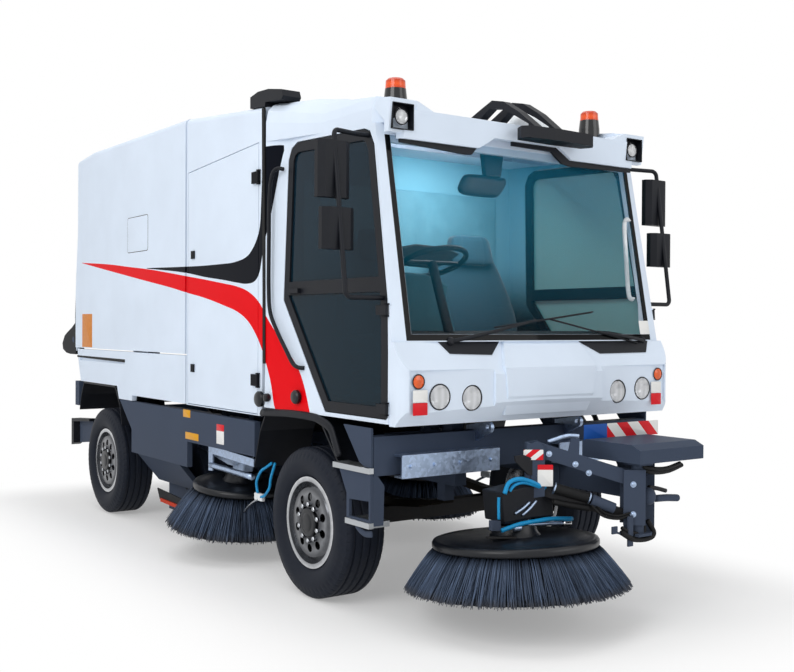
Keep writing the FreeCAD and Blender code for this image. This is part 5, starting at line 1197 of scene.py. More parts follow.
def set_values(piece: bpy.types.Object, name: str, values: np.ndarray) -> None:
    """Store one number for each point of a piece.

    Args:
        piece: the piece.
        name: name that its finish reads.
        values: the numbers.
    """
    store = piece.data.attributes.new(name, "FLOAT", "POINT")
    store.data.foreach_set("value", np.ascontiguousarray(values, np.float32).ravel())


# ---- wheels ----------------------------------------------------------------
@dataclass
class RoadWheel:
    """Tyre with cut tread, wheel nuts and hub cap; sizes in metres."""

    station: float
    side: int
    corner: str
    radius: float = 0.4475
    bead: float = 0.2553
    middle_y: float = 0.884
    hub_face: float = 0.117
    nuts: int = 10
    nut_circle: float = 0.108
    nut_size: float = 0.0155
    cap_radius: float = 0.0862
    tread_half: float = 0.1245
    shoulder_at: float = 0.100               # distance from the middle at which the tread rounds off
    shoulder_width: float = 0.026
    shoulder_drop: float = 0.016
    groove_depth: float = 0.011
    groove_half: float = 0.0042
    lugs: int = 56
    lug_gap: float = 0.13                    # share of a lug's pitch that is open

    def centre(self) -> np.ndarray:
        """Middle of the wheel in the row frame."""
        return np.array([self.station, self.side * self.middle_y, self.radius])

    def tyre(self) -> bpy.types.Object:
        """Tyre turned from its section, with the tread cut in.

        Formula: the radius of a tread point drops by the groove depth where its distance from one
        of four ring grooves is small, and by a third of it where a saw-tooth of the angle, shifted
        by the distance across, falls in a sipe of the ribs or a notch of the shoulders.

        Returns:
            The tyre.
        """
        knots = np.array([(0.1107, self.bead), (0.1107, self.bead + 0.02), (0.132, 0.292), (0.1445, 0.322),
                          (0.1495, 0.350), (0.1475, 0.375), (0.1435, 0.392), (0.134, 0.412), (0.1265, 0.4315)])
        wall = eased(knots, 2)
        crown = np.linspace(self.tread_half, -self.tread_half, 61)
        rounding = np.clip((np.abs(crown) - self.shoulder_at) / self.shoulder_width, 0, 1) ** 2 * self.shoulder_drop
        tread = np.column_stack([crown, self.radius - 0.0004 - rounding])
        section = np.vstack([wall, tread, wall[::-1] * (-1, 1)])
        angle = np.linspace(0, 2 * math.pi, self.lugs * 8, endpoint=False)
        across = section[None, :, 0]
        away = np.abs(across)
        cut = np.zeros((len(angle), len(section)))
        for groove in (-0.078, -0.026, 0.026, 0.078):
            cut = np.maximum(cut, np.clip(1.7 - np.abs(across - groove) / self.groove_half, 0, 1))
        saw = (angle[:, None] * self.lugs / (2 * math.pi) + away * 9) % 1.0
        notch = (saw < self.lug_gap) * (away > 0.104) * 0.35
        sipe = (saw < self.lug_gap) * (np.abs((away % 0.052) - 0.026) < 0.014) * 0.22
        cut = np.maximum(cut, np.maximum(notch, sipe))
        index = np.arange(len(section))
        on_tread = (index >= len(wall) - 2) & (index < len(wall) + len(tread) + 2)
        radius = section[None, :, 1] - cut * self.groove_depth * on_tread[None]
        flank = np.clip(1 - np.abs(section[None, :, 1] - 0.40) / 0.02, 0, 1) * (away > 0.12)
        axial = across * (1 - 0.018 * flank * (np.sin(angle[:, None] * self.lugs) > 0.2))
        along, first, second = basis((0, self.side, 0))
        points = (self.centre() + axial[..., None] * along + radius[..., None]
                  * (np.cos(angle)[:, None, None] * first + np.sin(angle)[:, None, None] * second))
        return sharpen(surface("tread_tyre_" + self.corner, points, round_rows=True, merge=0.0), 30)

    def build(self) -> None:
        """Make the tyre, the wheel nuts as one piece and the domed hub cap, and dress them."""
        body = "wheel_" + self.corner
        dress(self.tyre(), TYRE, body, ["tyre_" + self.corner])
        along = np.array([0.0, self.side, 0.0])
        face = self.centre() + along * self.hub_face
        place = (np.arange(self.nuts) + 0.5) * 2 * math.pi / self.nuts
        middles = face + np.stack([np.cos(place), np.zeros(self.nuts), np.sin(place)], -1) * self.nut_circle
        size, cap = self.nut_size, self.cap_radius
        dress(hexagons("wheel_nuts_" + self.corner, middles, along, ((1, 0, 0), (0, 0, 1)),
                       ((0.0, size), (0.014, size), (0.017, size * 0.72))), POLISHED, body)
        profile = ((-0.002, 0.0), (-0.002, cap), (0.010, cap), (0.0165, cap - 0.005), (0.0185, cap - 0.013),
                   (0.0185, 0.056), (0.0215, 0.052), (0.025, 0.034), (0.026, 0.0))
        dress(turned("hub_cap_" + self.corner, profile, face, along), BLACK_GLOSS, body)


# ---- brushes ---------------------------------------------------------------
@dataclass
class DiscBrush:
    """Disc brush: plate, hub, dark core and strands; sizes in metres."""

    node: str
    body: str
    foot: tuple[float, float, float]
    tips: float
    disc: float
    drop: float
    tilt: float
    strands: int = 1500
    seed: int = 3
    core_tufts: int = 64
    tuft_swell: float = 0.006
    steps: int = 5                           # rings of a strand
    clumps: int = 46
    thick: float = 0.0036                    # radius of a strand at its root
    thinning: float = 0.0016                 # what it loses up to its tip

    def tilted(self, points: np.ndarray) -> np.ndarray:
        """Points about the foot, tilted about the cross axis and moved to the brush's place.

        Args:
            points: points before the tilt.

        Returns:
            Points in the row frame.
        """
        angle = math.radians(-self.tilt)
        turn = np.array([[math.cos(angle), 0, math.sin(angle)], [0, 1, 0],
                         [-math.sin(angle), 0, math.cos(angle)]])
        return points @ turn.T + np.asarray(self.foot)

    def around(self, angle: np.ndarray, radius: np.ndarray, height: np.ndarray) -> np.ndarray:
        """Points about the foot at an angle, a radius and a height, before the tilt."""
        return np.stack([np.cos(angle) * radius, np.sin(angle) * radius, np.broadcast_to(height, radius.shape)], -1)

    def disc_plate(self) -> bpy.types.Object:
        """Dished plate with a rolled rim and the hub on top, turned from one section.

        Returns:
            The plate.
        """
        disc = self.disc
        height, radius = np.array(
            [(-0.012, 0.0), (-0.012, disc - 0.03), (-0.004, disc - 0.006), (0.006, disc), (0.024, disc),
             (0.036, disc - 0.008), (0.041, disc - 0.025), (0.037, disc - 0.04), (0.046, disc - 0.075), (0.053, 0.14),
             (0.07, 0.125), (0.112, 0.112), (0.12, 0.098), (0.12, 0.0)]).T
        angle = np.linspace(0, 2 * math.pi, 72, endpoint=False)[:, None]
        points = self.around(angle, np.broadcast_to(radius, (72, len(radius))), self.drop + height)
        return sharpen(surface(self.node + "_plate", self.tilted(points), round_rows=True, round_columns=False,
                               capped=False), 40)

    def core(self) -> bpy.types.Object:
        """Dark cone of packed bristles behind the strands, rippled into tufts.

        Formula: the radius swells by tuft_swell times the sine of core_tufts times the angle.

        Returns:
            The core.
        """
        angle = np.linspace(0, 2 * math.pi, self.core_tufts * 4, endpoint=False)[:, None]
        height, radius = np.array(
            [(self.drop - 0.006, 0.12), (self.drop - 0.006, self.disc - 0.03),
             (0.5 * self.drop, (self.disc + self.tips) / 2 - 0.035), (0.012, self.tips - 0.035),
             (0.016, self.tips - 0.10), (0.6 * self.drop, 0.12)]).T
        swollen = radius + self.tuft_swell * np.sin(angle * self.core_tufts) * (radius > 0.2)
        return surface(self.node + "_core", self.tilted(self.around(angle, swollen, height)), round_rows=True,
                       capped=False)

    def bristles(self) -> bpy.types.Object:
        """Strands from under the disc's rim to the tips, each a tapered three-sided rod.

        Formula: at share s of its length a strand is at radius root + (end - root) * s^0.92 and at
        height top - (top - foot) * s^1.08, and leans sideways by its own amount times s squared.

        Returns:
            The strands as one piece with their reach and shade values.
        """
        chance = np.random.default_rng(self.seed)
        count, steps = self.strands, self.steps
        spin = chance.uniform(0, 2 * math.pi, count)
        layer = chance.uniform(0, 1, count)
        clump = np.sin(spin * self.clumps + chance.normal(0, 0.25, count))
        root = self.disc - 0.012 - 0.055 * layer
        end = self.tips - 0.004 - 0.045 * layer - 0.016 * chance.random(count) * (layer < 0.6)
        foot = 0.014 * chance.random(count) + 0.012 * layer
        top = self.drop - 0.004
        share = np.linspace(0, 1, steps)[None]
        radius = root[:, None] + (end - root)[:, None] * share ** 0.92
        height = top - (top - foot)[:, None] * share ** 1.08
        angle = spin[:, None] + (chance.normal(0, 0.016, count) + 0.010 * clump)[:, None] * share ** 2
        thick = (self.thick - self.thinning * share) * chance.uniform(0.8, 1.25, count)[:, None]
        corner = np.arange(3)[:, None] * 2 * math.pi / 3
        side = np.stack([-np.sin(angle), np.cos(angle), np.zeros_like(angle)], -1)[:, :, None]
        lift = np.stack([np.cos(angle) * 0.5, np.sin(angle) * 0.5, np.full_like(angle, 0.86)], -1)[:, :, None]
        points = (self.around(angle, radius, height)[:, :, None]
                  + thick[..., None, None] * (np.cos(corner) * side + np.sin(corner) * lift))
        size = steps * 3
        starts = (np.arange(count) * size)[:, None, None]
        faces = (grid_faces(steps, 3, False, True)[None] + starts).reshape(-1, 4).tolist()
        faces += (np.array([[0, 1, 2], [size - 3, size - 2, size - 1]])[None] + starts).reshape(-1, 3).tolist()
        piece = make_piece(self.node + "_strands", self.tilted(points), faces)
        set_values(piece, "reach", np.repeat(np.broadcast_to(share, (count, steps)), 3))
        # random tone of each strand, with painted shade on the strands set deeper in the pack
        tone = np.clip(chance.uniform(0.1, 1.0, count) * (0.75 + 0.25 * clump) * (1 - 0.45 * layer), 0, 1)
        set_values(piece, "shade", np.repeat(tone, size))
        return piece

    def build(self) -> None:
        """Make the brush's pieces and dress them."""
        dress(self.bristles(), BRISTLE, self.body, [self.node])
        dress(self.core(), CORE, self.body)
        dress(self.disc_plate(), BLACK_GLOSS, self.body)


# ---- lamps -----------------------------------------------------------------
@dataclass
class LampSet:
    """Front lamps, pod lamps and tail lamps in place of the plain ones; sizes in metres."""

    face_x: float = 0.979
    pod_x: float = 0.777
    pod_y: float = 0.8985
    pod_z: float = 2.7395
    pod_depth: float = 0.028
    bowl_depth: float = 0.045
    liner_x: float = 0.80
    liner_y: float = 0.9005
    tail_depth: float = 0.0277
    tail_half: float = 0.06
    tail_low: float = 0.94
    tail_high: float = 1.04

    def round_lamp(self, name: str, centre: Vec, radius: float, depth: float, lens: Finish) -> None:
        """Reflector bowl, bulb shield, bezel and domed lens facing forward.

        Args:
            name: name stem of the pieces.
            centre: middle of the lens's edge.
            radius: outside radius.
            depth: depth of the bowl.
            lens: finish of the lens.
        """
        inside, rim = radius - 0.006, radius - 0.0005
        share = np.linspace(0, 1, 9)
        dish = np.column_stack([-depth * 0.86 * (1 - share ** 2), inside * share])
        dome = np.column_stack([0.001 + 0.008 * (1 - share ** 2), (inside + 0.002) * share])
        bezel = ((-0.004, radius - 0.001), (0.003, radius - 0.001), (0.0045, radius - 0.003),
                 (0.003, radius - 0.007), (-0.004, radius - 0.007))
        shield = ((-depth * 0.8, 0.0), (-depth * 0.8, radius * 0.2), (-depth * 0.4, radius * 0.22),
                  (-depth * 0.28, radius * 0.14), (-depth * 0.25, 0.0))
        for part, profile, finish, sides in (
                ("bowl", [*dish, (0.0, rim), (-depth, rim), (-depth, 0.0)], CHROME, 48),
                ("lens", [*dome[::-1], *(dome - (0.003, 0.0))], lens, 48),
                ("bezel", bezel, BLACK_ABS, 48), ("bulb_shield", shield, CHROME, 24)):
            piece = turned(f"{name}_{part}", profile, centre, (1, 0, 0), sides, closed=part == "bezel")
            dress(piece, finish)

    def build(self) -> None:
        """Make every lamp on both sides."""
        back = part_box("lamps")[0].x
        stands_for = ["lamps"]
        for side, word in reversed(SIDES):
            for name, y, z, radius, lens in (("dipped_lamp", 0.783, 1.242, 0.071, CLEAR_LENS),
                                             ("main_lamp", 0.565, 1.230, 0.071, CLEAR_LENS),
                                             ("indicator", 0.924, 1.326, 0.041, AMBER_LENS)):
                self.round_lamp(f"{name}_{word}", at(self.face_x, side * y, z), radius, self.bowl_depth, lens)
            self.round_lamp("roof_lamp_" + word, at(self.pod_x, side * self.pod_y, self.pod_z), 0.046, self.pod_depth,
                            CLEAR_LENS)
            rows = [[at(self.liner_x + run, side * self.liner_y + y * half, self.pod_z + z * half)
                     for y, z in ((-1, -1), (1, -1), (1, 1), (-1, 1))]
                    for run, half in ((-0.0585, 0.070), (-0.001, 0.070), (-0.001, 0.0665), (-0.054, 0.0645))]
            dress(surface("pod_liner_" + word, np.array(rows), smooth=False), BLACK_ABS)
            for name, y, finish in (("tail_lamp", 0.93, RED_LENS), ("rear_indicator", 0.79, AMBER_LENS)):
                near, far = sorted((side * (y - self.tail_half), side * (y + self.tail_half)))
                piece = block(f"{name}_{word}", (back, near, self.tail_low),
                              (back + self.tail_depth, far, self.tail_high), 0.007)
                dress(piece, finish, stands_for=stands_for)
                stands_for = []


# ---- cab -------------------------------------------------------------------
@dataclass
class CabTrim:
    """Wipers, inner mirror, rails, seals, lining, binnacle and roof dome of the cab; sizes in metres."""

    corner_x: float = 0.902
    bulge: float = 0.035
    half: float = 0.945
    slope: float = -0.1934
    low: float = 1.533
    roof_slope: float = 0.28
    dome_half: tuple[float, float] = (0.17, 0.15)
    dome_rise: float = 0.095
    front_slope: float = 0.545

    def glass(self, y: np.ndarray, z: np.ndarray, gap: float) -> np.ndarray:
        """Points ahead of the windscreen.

        Formula: the glass's bow is a parabola across, its rake a slope in height.

        Args:
            y: places across.
            z: heights.
            gap: distance ahead of the glass.

        Returns:
            The points.
        """
        x = self.corner_x + self.bulge * (1 - (y / self.half) ** 2) + self.slope * (z - self.low) + gap
        return np.stack([x + AXLE_X, y, z], -1)

    def wiper(self, name: str, pivot: Vec, tip: Vec, ends: tuple[Vec, Vec]) -> None:
        """Wiper with arm, blade frame and rubber, following the glass.

        Args:
            name: name stem of its pieces.
            pivot: y and z of the arm's pivot.
            tip: y and z of the blade's middle.
            ends: y and z of the blade's two ends.
        """
        share = np.linspace(0, 1, 24)
        lean = (1, 0, 0.2)
        arm = self.glass(pivot[0] + (tip[0] - pivot[0]) * share, pivot[1] + (tip[1] - pivot[1]) * share, 0.0)
        arm = arm + np.array([1.0, 0, 0]) * (0.012 + 0.020 * np.sin(share * math.pi))[:, None]
        dress(sweep(name + "_arm", arm, ring(0.009, 10, 0.5), lean, 1.25 - 0.5 * share), BLACK_ABS)
        (y0, z0), (y1, z1) = ends
        blade = self.glass(y0 + (y1 - y0) * share, z0 + (z1 - z0) * share, 0.0085)
        rubber = np.array([(-0.0055, -0.004), (0.0055, -0.004), (0.003, 0.004), (-0.003, 0.004)])
        dress(sweep(name + "_blade", blade, rubber, lean), BLACK_ABS)
        hub = self.glass(np.array([pivot[0]]), np.array([pivot[1]]), -0.004)[0]
        boss = ((0, 0), (0, 0.022), (0.012, 0.022), (0.02, 0.016), (0.023, 0))
        dress(turned(name + "_pivot", boss, hub, (1, 0, 0.15), 24), BLACK_ABS)

    def handrail(self, name: str, points: Sequence[Vec], radius: float, finish: Finish) -> None:
        """Round rail of a radius through points that are forward of the front axle."""
        line = eased([at(*point) for point in points], 10)
        dress(sweep(name, line, ring(radius, 12), (0.3, 0.2, 1)), finish)

    def inner_mirror(self) -> None:
        """Mirror with slanted ends on a wide flat stem below the header."""
        stem = ((-0.225, 2.72), (-0.04, 2.72), (-0.07, 2.50), (-0.19, 2.50))
        dress(prism("inner_mirror_stem", *([at(x, y, z) for y, z in stem] for x in (0.60, 0.64)), 0.01), BLACK_ABS)
        knots = np.array([(-0.376, 2.42), (-0.345, 2.478), (-0.29, 2.504), (-0.06, 2.504), (-0.018, 2.492),
                          (-0.022, 2.455), (-0.075, 2.392), (-0.13, 2.379), (-0.30, 2.379), (-0.36, 2.392)])
        outline = eased(np.vstack([knots, knots[:1]]), 4)[:-1]
        middle = outline.mean(0)
        rows = [np.column_stack([np.full(len(outline), 0.61 + AXLE_X + run), middle + (outline - middle) * size])
                for run, size in ((-0.012, 0.9), (-0.008, 0.99), (0.008, 1.0), (0.026, 0.88), (0.034, 0.6))]
        dress(surface("inner_mirror_head", np.array(rows)), BLACK_GLOSS)

    def seals(self) -> None:
        """Black seals between the roof's visor and the glass, and the cowls the wipers stand on."""
        for word, outline in (("right", ((-0.90, 2.626), (-0.366, 2.626), (-0.40, 2.587), (-0.44, 2.583),
                                         (-0.90, 2.606))),
                              ("left", ((-0.10, 2.693), (0.25, 2.693), (0.365, 2.626), (0.90, 2.626),
                                        (0.90, 2.600), (0.37, 2.590), (0.30, 2.60), (0.21, 2.664), (-0.10, 2.668)))):
            dress(slab("visor_seal_" + word, outline, 0.752, 0.014), BLACK_ABS)
        for word, outline in (("right", ((-0.745, 1.5325), (-0.69, 1.469), (-0.40, 1.460), (-0.315, 1.5325))),
                              ("left", ((0.30, 1.5325), (0.445, 1.458), (0.85, 1.462), (0.905, 1.5325)))):
            rows = [[at(0.907 + self.front_slope * (self.low - z) + lift, y, z) for y, z in outline]
                    for lift in (0.0005, 0.0045)]
            dress(prism("wiper_cowl_" + word, *rows), BLACK_ABS)

    def dome(self) -> None:
        """Shallow white dome on the roof beside the mirror arms.

        Formula: the height over the rim is its rise times the root of one less the squared radius.
        """
        share = np.linspace(1, 0, 10)[:, None]
        angle = np.linspace(0, 2 * math.pi, 40, endpoint=False)
        x, y = np.cos(angle) * self.dome_half[0] * share, np.sin(angle) * self.dome_half[1] * share
        z = self.dome_rise * np.sqrt(np.clip(1 - share ** 2, 0, 1)) + 0 * x
        points = at(0.40, 0.40, 2.885) + np.stack([x, y, z - x * self.roof_slope], -1)
        foot = points[:1] - np.array([0, 0, 0.03])
        dress(surface("roof_dome", np.vstack([foot, points])), WHITE_PLASTIC)

    def build(self) -> None:
        """Make the cab's trim."""
        self.wiper("wiper_right", (-0.667, 1.535), (-0.05, 1.655), ((-0.36, 1.612), (0.43, 1.707)))
        self.wiper("wiper_left", (0.86, 1.535), (0.44, 1.59), ((0.061, 1.662), (0.80, 1.52)))
        self.inner_mirror()
        self.seals()
        wall = ((-0.80, 1.88), (0.80, 1.88), (0.80, 2.54), (-0.80, 2.54))
        hood = ((-0.60, 2.08), (-0.47, 2.105), (-0.25, 2.095), (-0.145, 2.06), (-0.25, 1.99), (-0.36, 1.965),
                (-0.60, 1.975))
        column = ((-0.60, 1.94), (-0.37, 1.93), (-0.20, 1.87), (-0.22, 1.80), (-0.16, 1.62), (-0.14, 1.56),
                  (-0.60, 1.56))
        for name, outline, x, depth, soften, finish in (("rear_lining", wall, -0.44, 0.012, 0.004, LINING),
                                                        ("binnacle_hood", hood, 0.30, 0.05, 0.012, BLACK_ABS),
                                                        ("binnacle_column", column, 0.26, 0.05, 0.015, CONSOLE)):
            dress(slab(name, outline, x, depth, soften), finish)
        self.dome()
        for side, word in SIDES:
            rail = ((-0.30, 1.018, 2.575), (-0.335, 1.045, 2.58), (-0.375, 1.058, 2.54), (-0.40, 1.062, 2.40),
                    (-0.405, 1.062, 2.10), (-0.405, 1.062, 1.85), (-0.385, 1.062, 1.70), (-0.30, 1.062, 1.585),
                    (-0.18, 1.062, 1.465), (-0.10, 1.062, 1.39), (-0.045, 1.058, 1.368), (-0.01, 1.035, 1.364))
            self.handrail("cab_rail_" + word, [(x, side * y, z) for x, y, z in rail], 0.0125, BLACK_ABS)
        self.handrail("grab_rail_passenger", ((0.80, 0.86, 2.30), (0.775, 0.84, 2.27), (0.79, 0.84, 2.05),
                                              (0.815, 0.84, 1.82), (0.84, 0.86, 1.79)), 0.014, WHITE_PLASTIC)


@dataclass
class Seat:
    """Driver's or passenger's seat: bellows, cushion, back and head rest; sizes in metres."""

    middle_y: float
    word: str
    half: float = 0.28
    taper: float = 0.45
    slack: float = 0.012
    roundness: float = 0.36                  # 1 makes an ellipsoid, 0 a box
    channel_at: float = 0.52
    channel_width: float = 0.035
    channel_depth: float = 0.006
    bellows_half: tuple[float, float] = (0.178, 0.148)
    bellows_top: float = 1.438
    pleat_depth: float = 0.012
    pleat_turn: float = 190.0                # radians of a pleat's wave in a metre

    def pad(self, name: str, low: Vec, high: Vec, lean: float, puff: float,
            taper: float = 0.0) -> bpy.types.Object:
        """Crowned pad with two sewn channels.

        Formula: a superellipsoid between two corners, whose cosines and sines are raised to the
        roundness.  Its front swells by puff times (1 - y^4)(1 - z^4), or its top by minus puff
        times (1 - x^4)(1 - y^4) when puff is negative, and dips along the two channels; points
        are then leaned back by their height times lean.

        Args:
            name: name of the pad.
            low: lowest corner.
            high: highest corner.
            lean: how far back the top leans for each metre of height.
            puff: how far the crown swells.
            taper: share of its width that the pad loses towards its top.

        Returns:
            The pad.
        """
        a, b = np.asarray(low, float), np.asarray(high, float)
        u = np.linspace(-math.pi / 2, math.pi / 2, 49)[:, None]
        v = np.linspace(0, 2 * math.pi, 96, endpoint=False)[None]
        cos_u, sin_u, cos_v, sin_v = (np.sign(value) * np.abs(value) ** self.roundness
                                      for value in (np.cos(u), np.sin(u), np.cos(v), np.sin(v)))
        x, y, z = cos_u * cos_v, cos_u * sin_v, sin_u + 0 * v
        crown = (1 - y ** 4) * (1 - z ** 4) if puff > 0 else (1 - x ** 4) * (1 - y ** 4)
        channel = np.exp(-((np.abs(y) - self.channel_at) / self.channel_width) ** 2)
        grow = abs(puff) * crown - self.channel_depth * channel
        axis = 0 if puff > 0 else 2
        points = np.stack([x, y, z], -1) * ((b - a) / 2 - self.slack)
        points[..., axis] += np.where(points[..., axis] > 0, grow, 0.0)
        points += (a + b) / 2
        points[..., 0] -= (points[..., 2] - a[2]) * lean
        middle_y = (a[1] + b[1]) / 2
        narrow = 1 - taper * np.clip((points[..., 2] - a[2]) / (b[2] - a[2]), 0, 1) ** 1.5
        points[..., 1] = middle_y + (points[..., 1] - middle_y) * narrow
        return surface(name, points, capped=False, merge=1e-5)

    def build(self) -> None:
        """Make the seat's pieces and dress them."""
        y = self.middle_y
        head = self.half * 0.44
        pads = [self.pad(f"{name}_{self.word}", at(x0, y - wide, z0), at(x1, y + wide, z1), lean, puff, taper)
                for name, wide, x0, x1, z0, z1, lean, puff, taper in (
                    ("seat_cushion", 0.24, -0.26, 0.23, 1.44, 1.57, 0.0, -0.012, 0.0),
                    ("seat_back", self.half, -0.245, -0.115, 1.50, 2.19, 0.12, 0.012, self.taper),
                    ("head_rest", head, -0.228, -0.122, 2.02, 2.245, 0.12, 0.010, 0.2))]
        for pad in pads:
            dress(pad, SEAT_CLOTH, stands_for=["seats"] if pad is pads[0] else [])
        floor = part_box("seats")[0].z
        heights = np.linspace(floor, self.bellows_top, 25)[:, None, None]
        wave = self.pleat_depth * np.cos((heights - floor) * self.pleat_turn)
        pleat = np.where((heights > floor + 0.07) & (heights < 1.39), wave, 0.0)
        square = np.array([(-1, -1), (-0.9, -1), (0.9, -1), (1, -0.9), (1, 0.9), (0.9, 1), (-0.9, 1), (-1, 0.9)])
        flat = square * (np.array(self.bellows_half) + pleat)
        points = np.concatenate([flat + at(-0.04, y, 0)[:2], np.broadcast_to(heights, (25, 8, 1))], -1)
        dress(surface(f"seat_bellows_{self.word}", points), BLACK_ABS)


# ---- labels ----------------------------------------------------------------
ARM_ROOT = (1.470, 0.200)                    # front arm's post at rest, forward of the front axle and across
ARM_RUN = (-0.574, -0.819)                   # way the front arm runs at rest
ARM_SIDE = (0.819, -0.574, 0.0)              # way its outer face looks at rest
RIGHT, FRONT = (0, -1, 0), (1, 0, 0)


def on_arm(along: float, z: float, out: float) -> tuple[float, float, float]:
    """Point at rest on the front arm, forward of the front axle.

    Formula: the arm's root plus the run along it plus the run out of its outer face.

    Args:
        along: run from the post.
        z: height.
        out: run outwards.

    Returns:
        The point.
    """
    x, y = (root + run * along + side * out for root, run, side in zip(ARM_ROOT, ARM_RUN, ARM_SIDE))
    return x, y, z


@dataclass
class Label:
    """Blank label or reflector: its middle, the way it faces, its size and film."""

    name: str
    middle: tuple[float, float, float]
    facing: tuple[float, float, float]
    size: tuple[float, float]
    film: Finish
    body: str = "chassis"
    depth: float = 0.0012

    def build(self) -> None:
        """Make the label and dress it."""
        out = unit(np.asarray(self.facing, float))
        across = unit(np.cross((0, 0, 1), out))
        piece = plate(self.name, at(*self.middle), across, np.cross(out, across), self.size, self.depth)
        dress(piece, self.film, self.body)


LABELS = (
    Label("label_hopper", (-3.845, -1.034, 1.56), RIGHT, (0.26, 0.295), ORANGE_FILM, "hopper"),
    Label("label_skirt_low", (-1.157, -1.026, 0.848), RIGHT, (0.115, 0.09), WHITE_FILM),
    Label("label_skirt_high", (-1.157, -1.026, 0.915), RIGHT, (0.115, 0.045), RED_FILM),
    Label("reflector_side_a", (-1.711, -1.026, 0.973), RIGHT, (0.125, 0.055), YELLOW_FILM),
    Label("reflector_side_b", (-1.62, -1.026, 0.815), RIGHT, (0.225, 0.05), YELLOW_FILM),
    Label("blue_dot_right", (0.972, -0.683, 1.20), FRONT, (0.026, 0.026), BLUE_FILM),
    Label("blue_dot_left", (0.972, 0.683, 1.20), FRONT, (0.026, 0.026), BLUE_FILM),
    Label("label_rail_right", (-0.455, -1.025, 1.885), (0, -1, 0.03), (0.05, 0.085), RED_FILM),
    Label("label_front_white_right", (0.985, -0.916, 1.250), FRONT, (0.095, 0.065), WHITE_FILM),
    Label("label_front_red_right", (0.985, -0.916, 1.183), FRONT, (0.095, 0.065), RED_FILM),
    Label("label_front_white_left", (0.985, 0.904, 1.245), FRONT, (0.090, 0.070), WHITE_FILM),
    Label("label_front_red_left", (0.985, 0.904, 1.173), FRONT, (0.090, 0.070), RED_FILM),
    Label("label_screen", (0.924, 0.86, 1.615), (0.98, 0, 0.19), (0.085, 0.085), WHITE_FILM),
    Label("hazard_plate_blue", (1.15, 0.205, 1.02), FRONT, (0.186, 0.085), BLUE_FILM),
    Label("hazard_plate_bands", (1.15, 0.517, 1.02), FRONT, (0.434, 0.085), HAZARD_FILM),
    Label("arm_plate_bands", on_arm(0.575, 0.925, 0.052), ARM_SIDE, (0.107, 0.056), NARROW_BANDS, "front_head"),
    Label("arm_plate_white", on_arm(0.51, 0.800, 0.052), ARM_SIDE, (0.083, 0.090), WHITE_FILM, "front_head"),
    Label("arm_plate_red", on_arm(0.51, 0.858, 0.052), ARM_SIDE, (0.083, 0.028), RED_FILM, "front_head"),
)


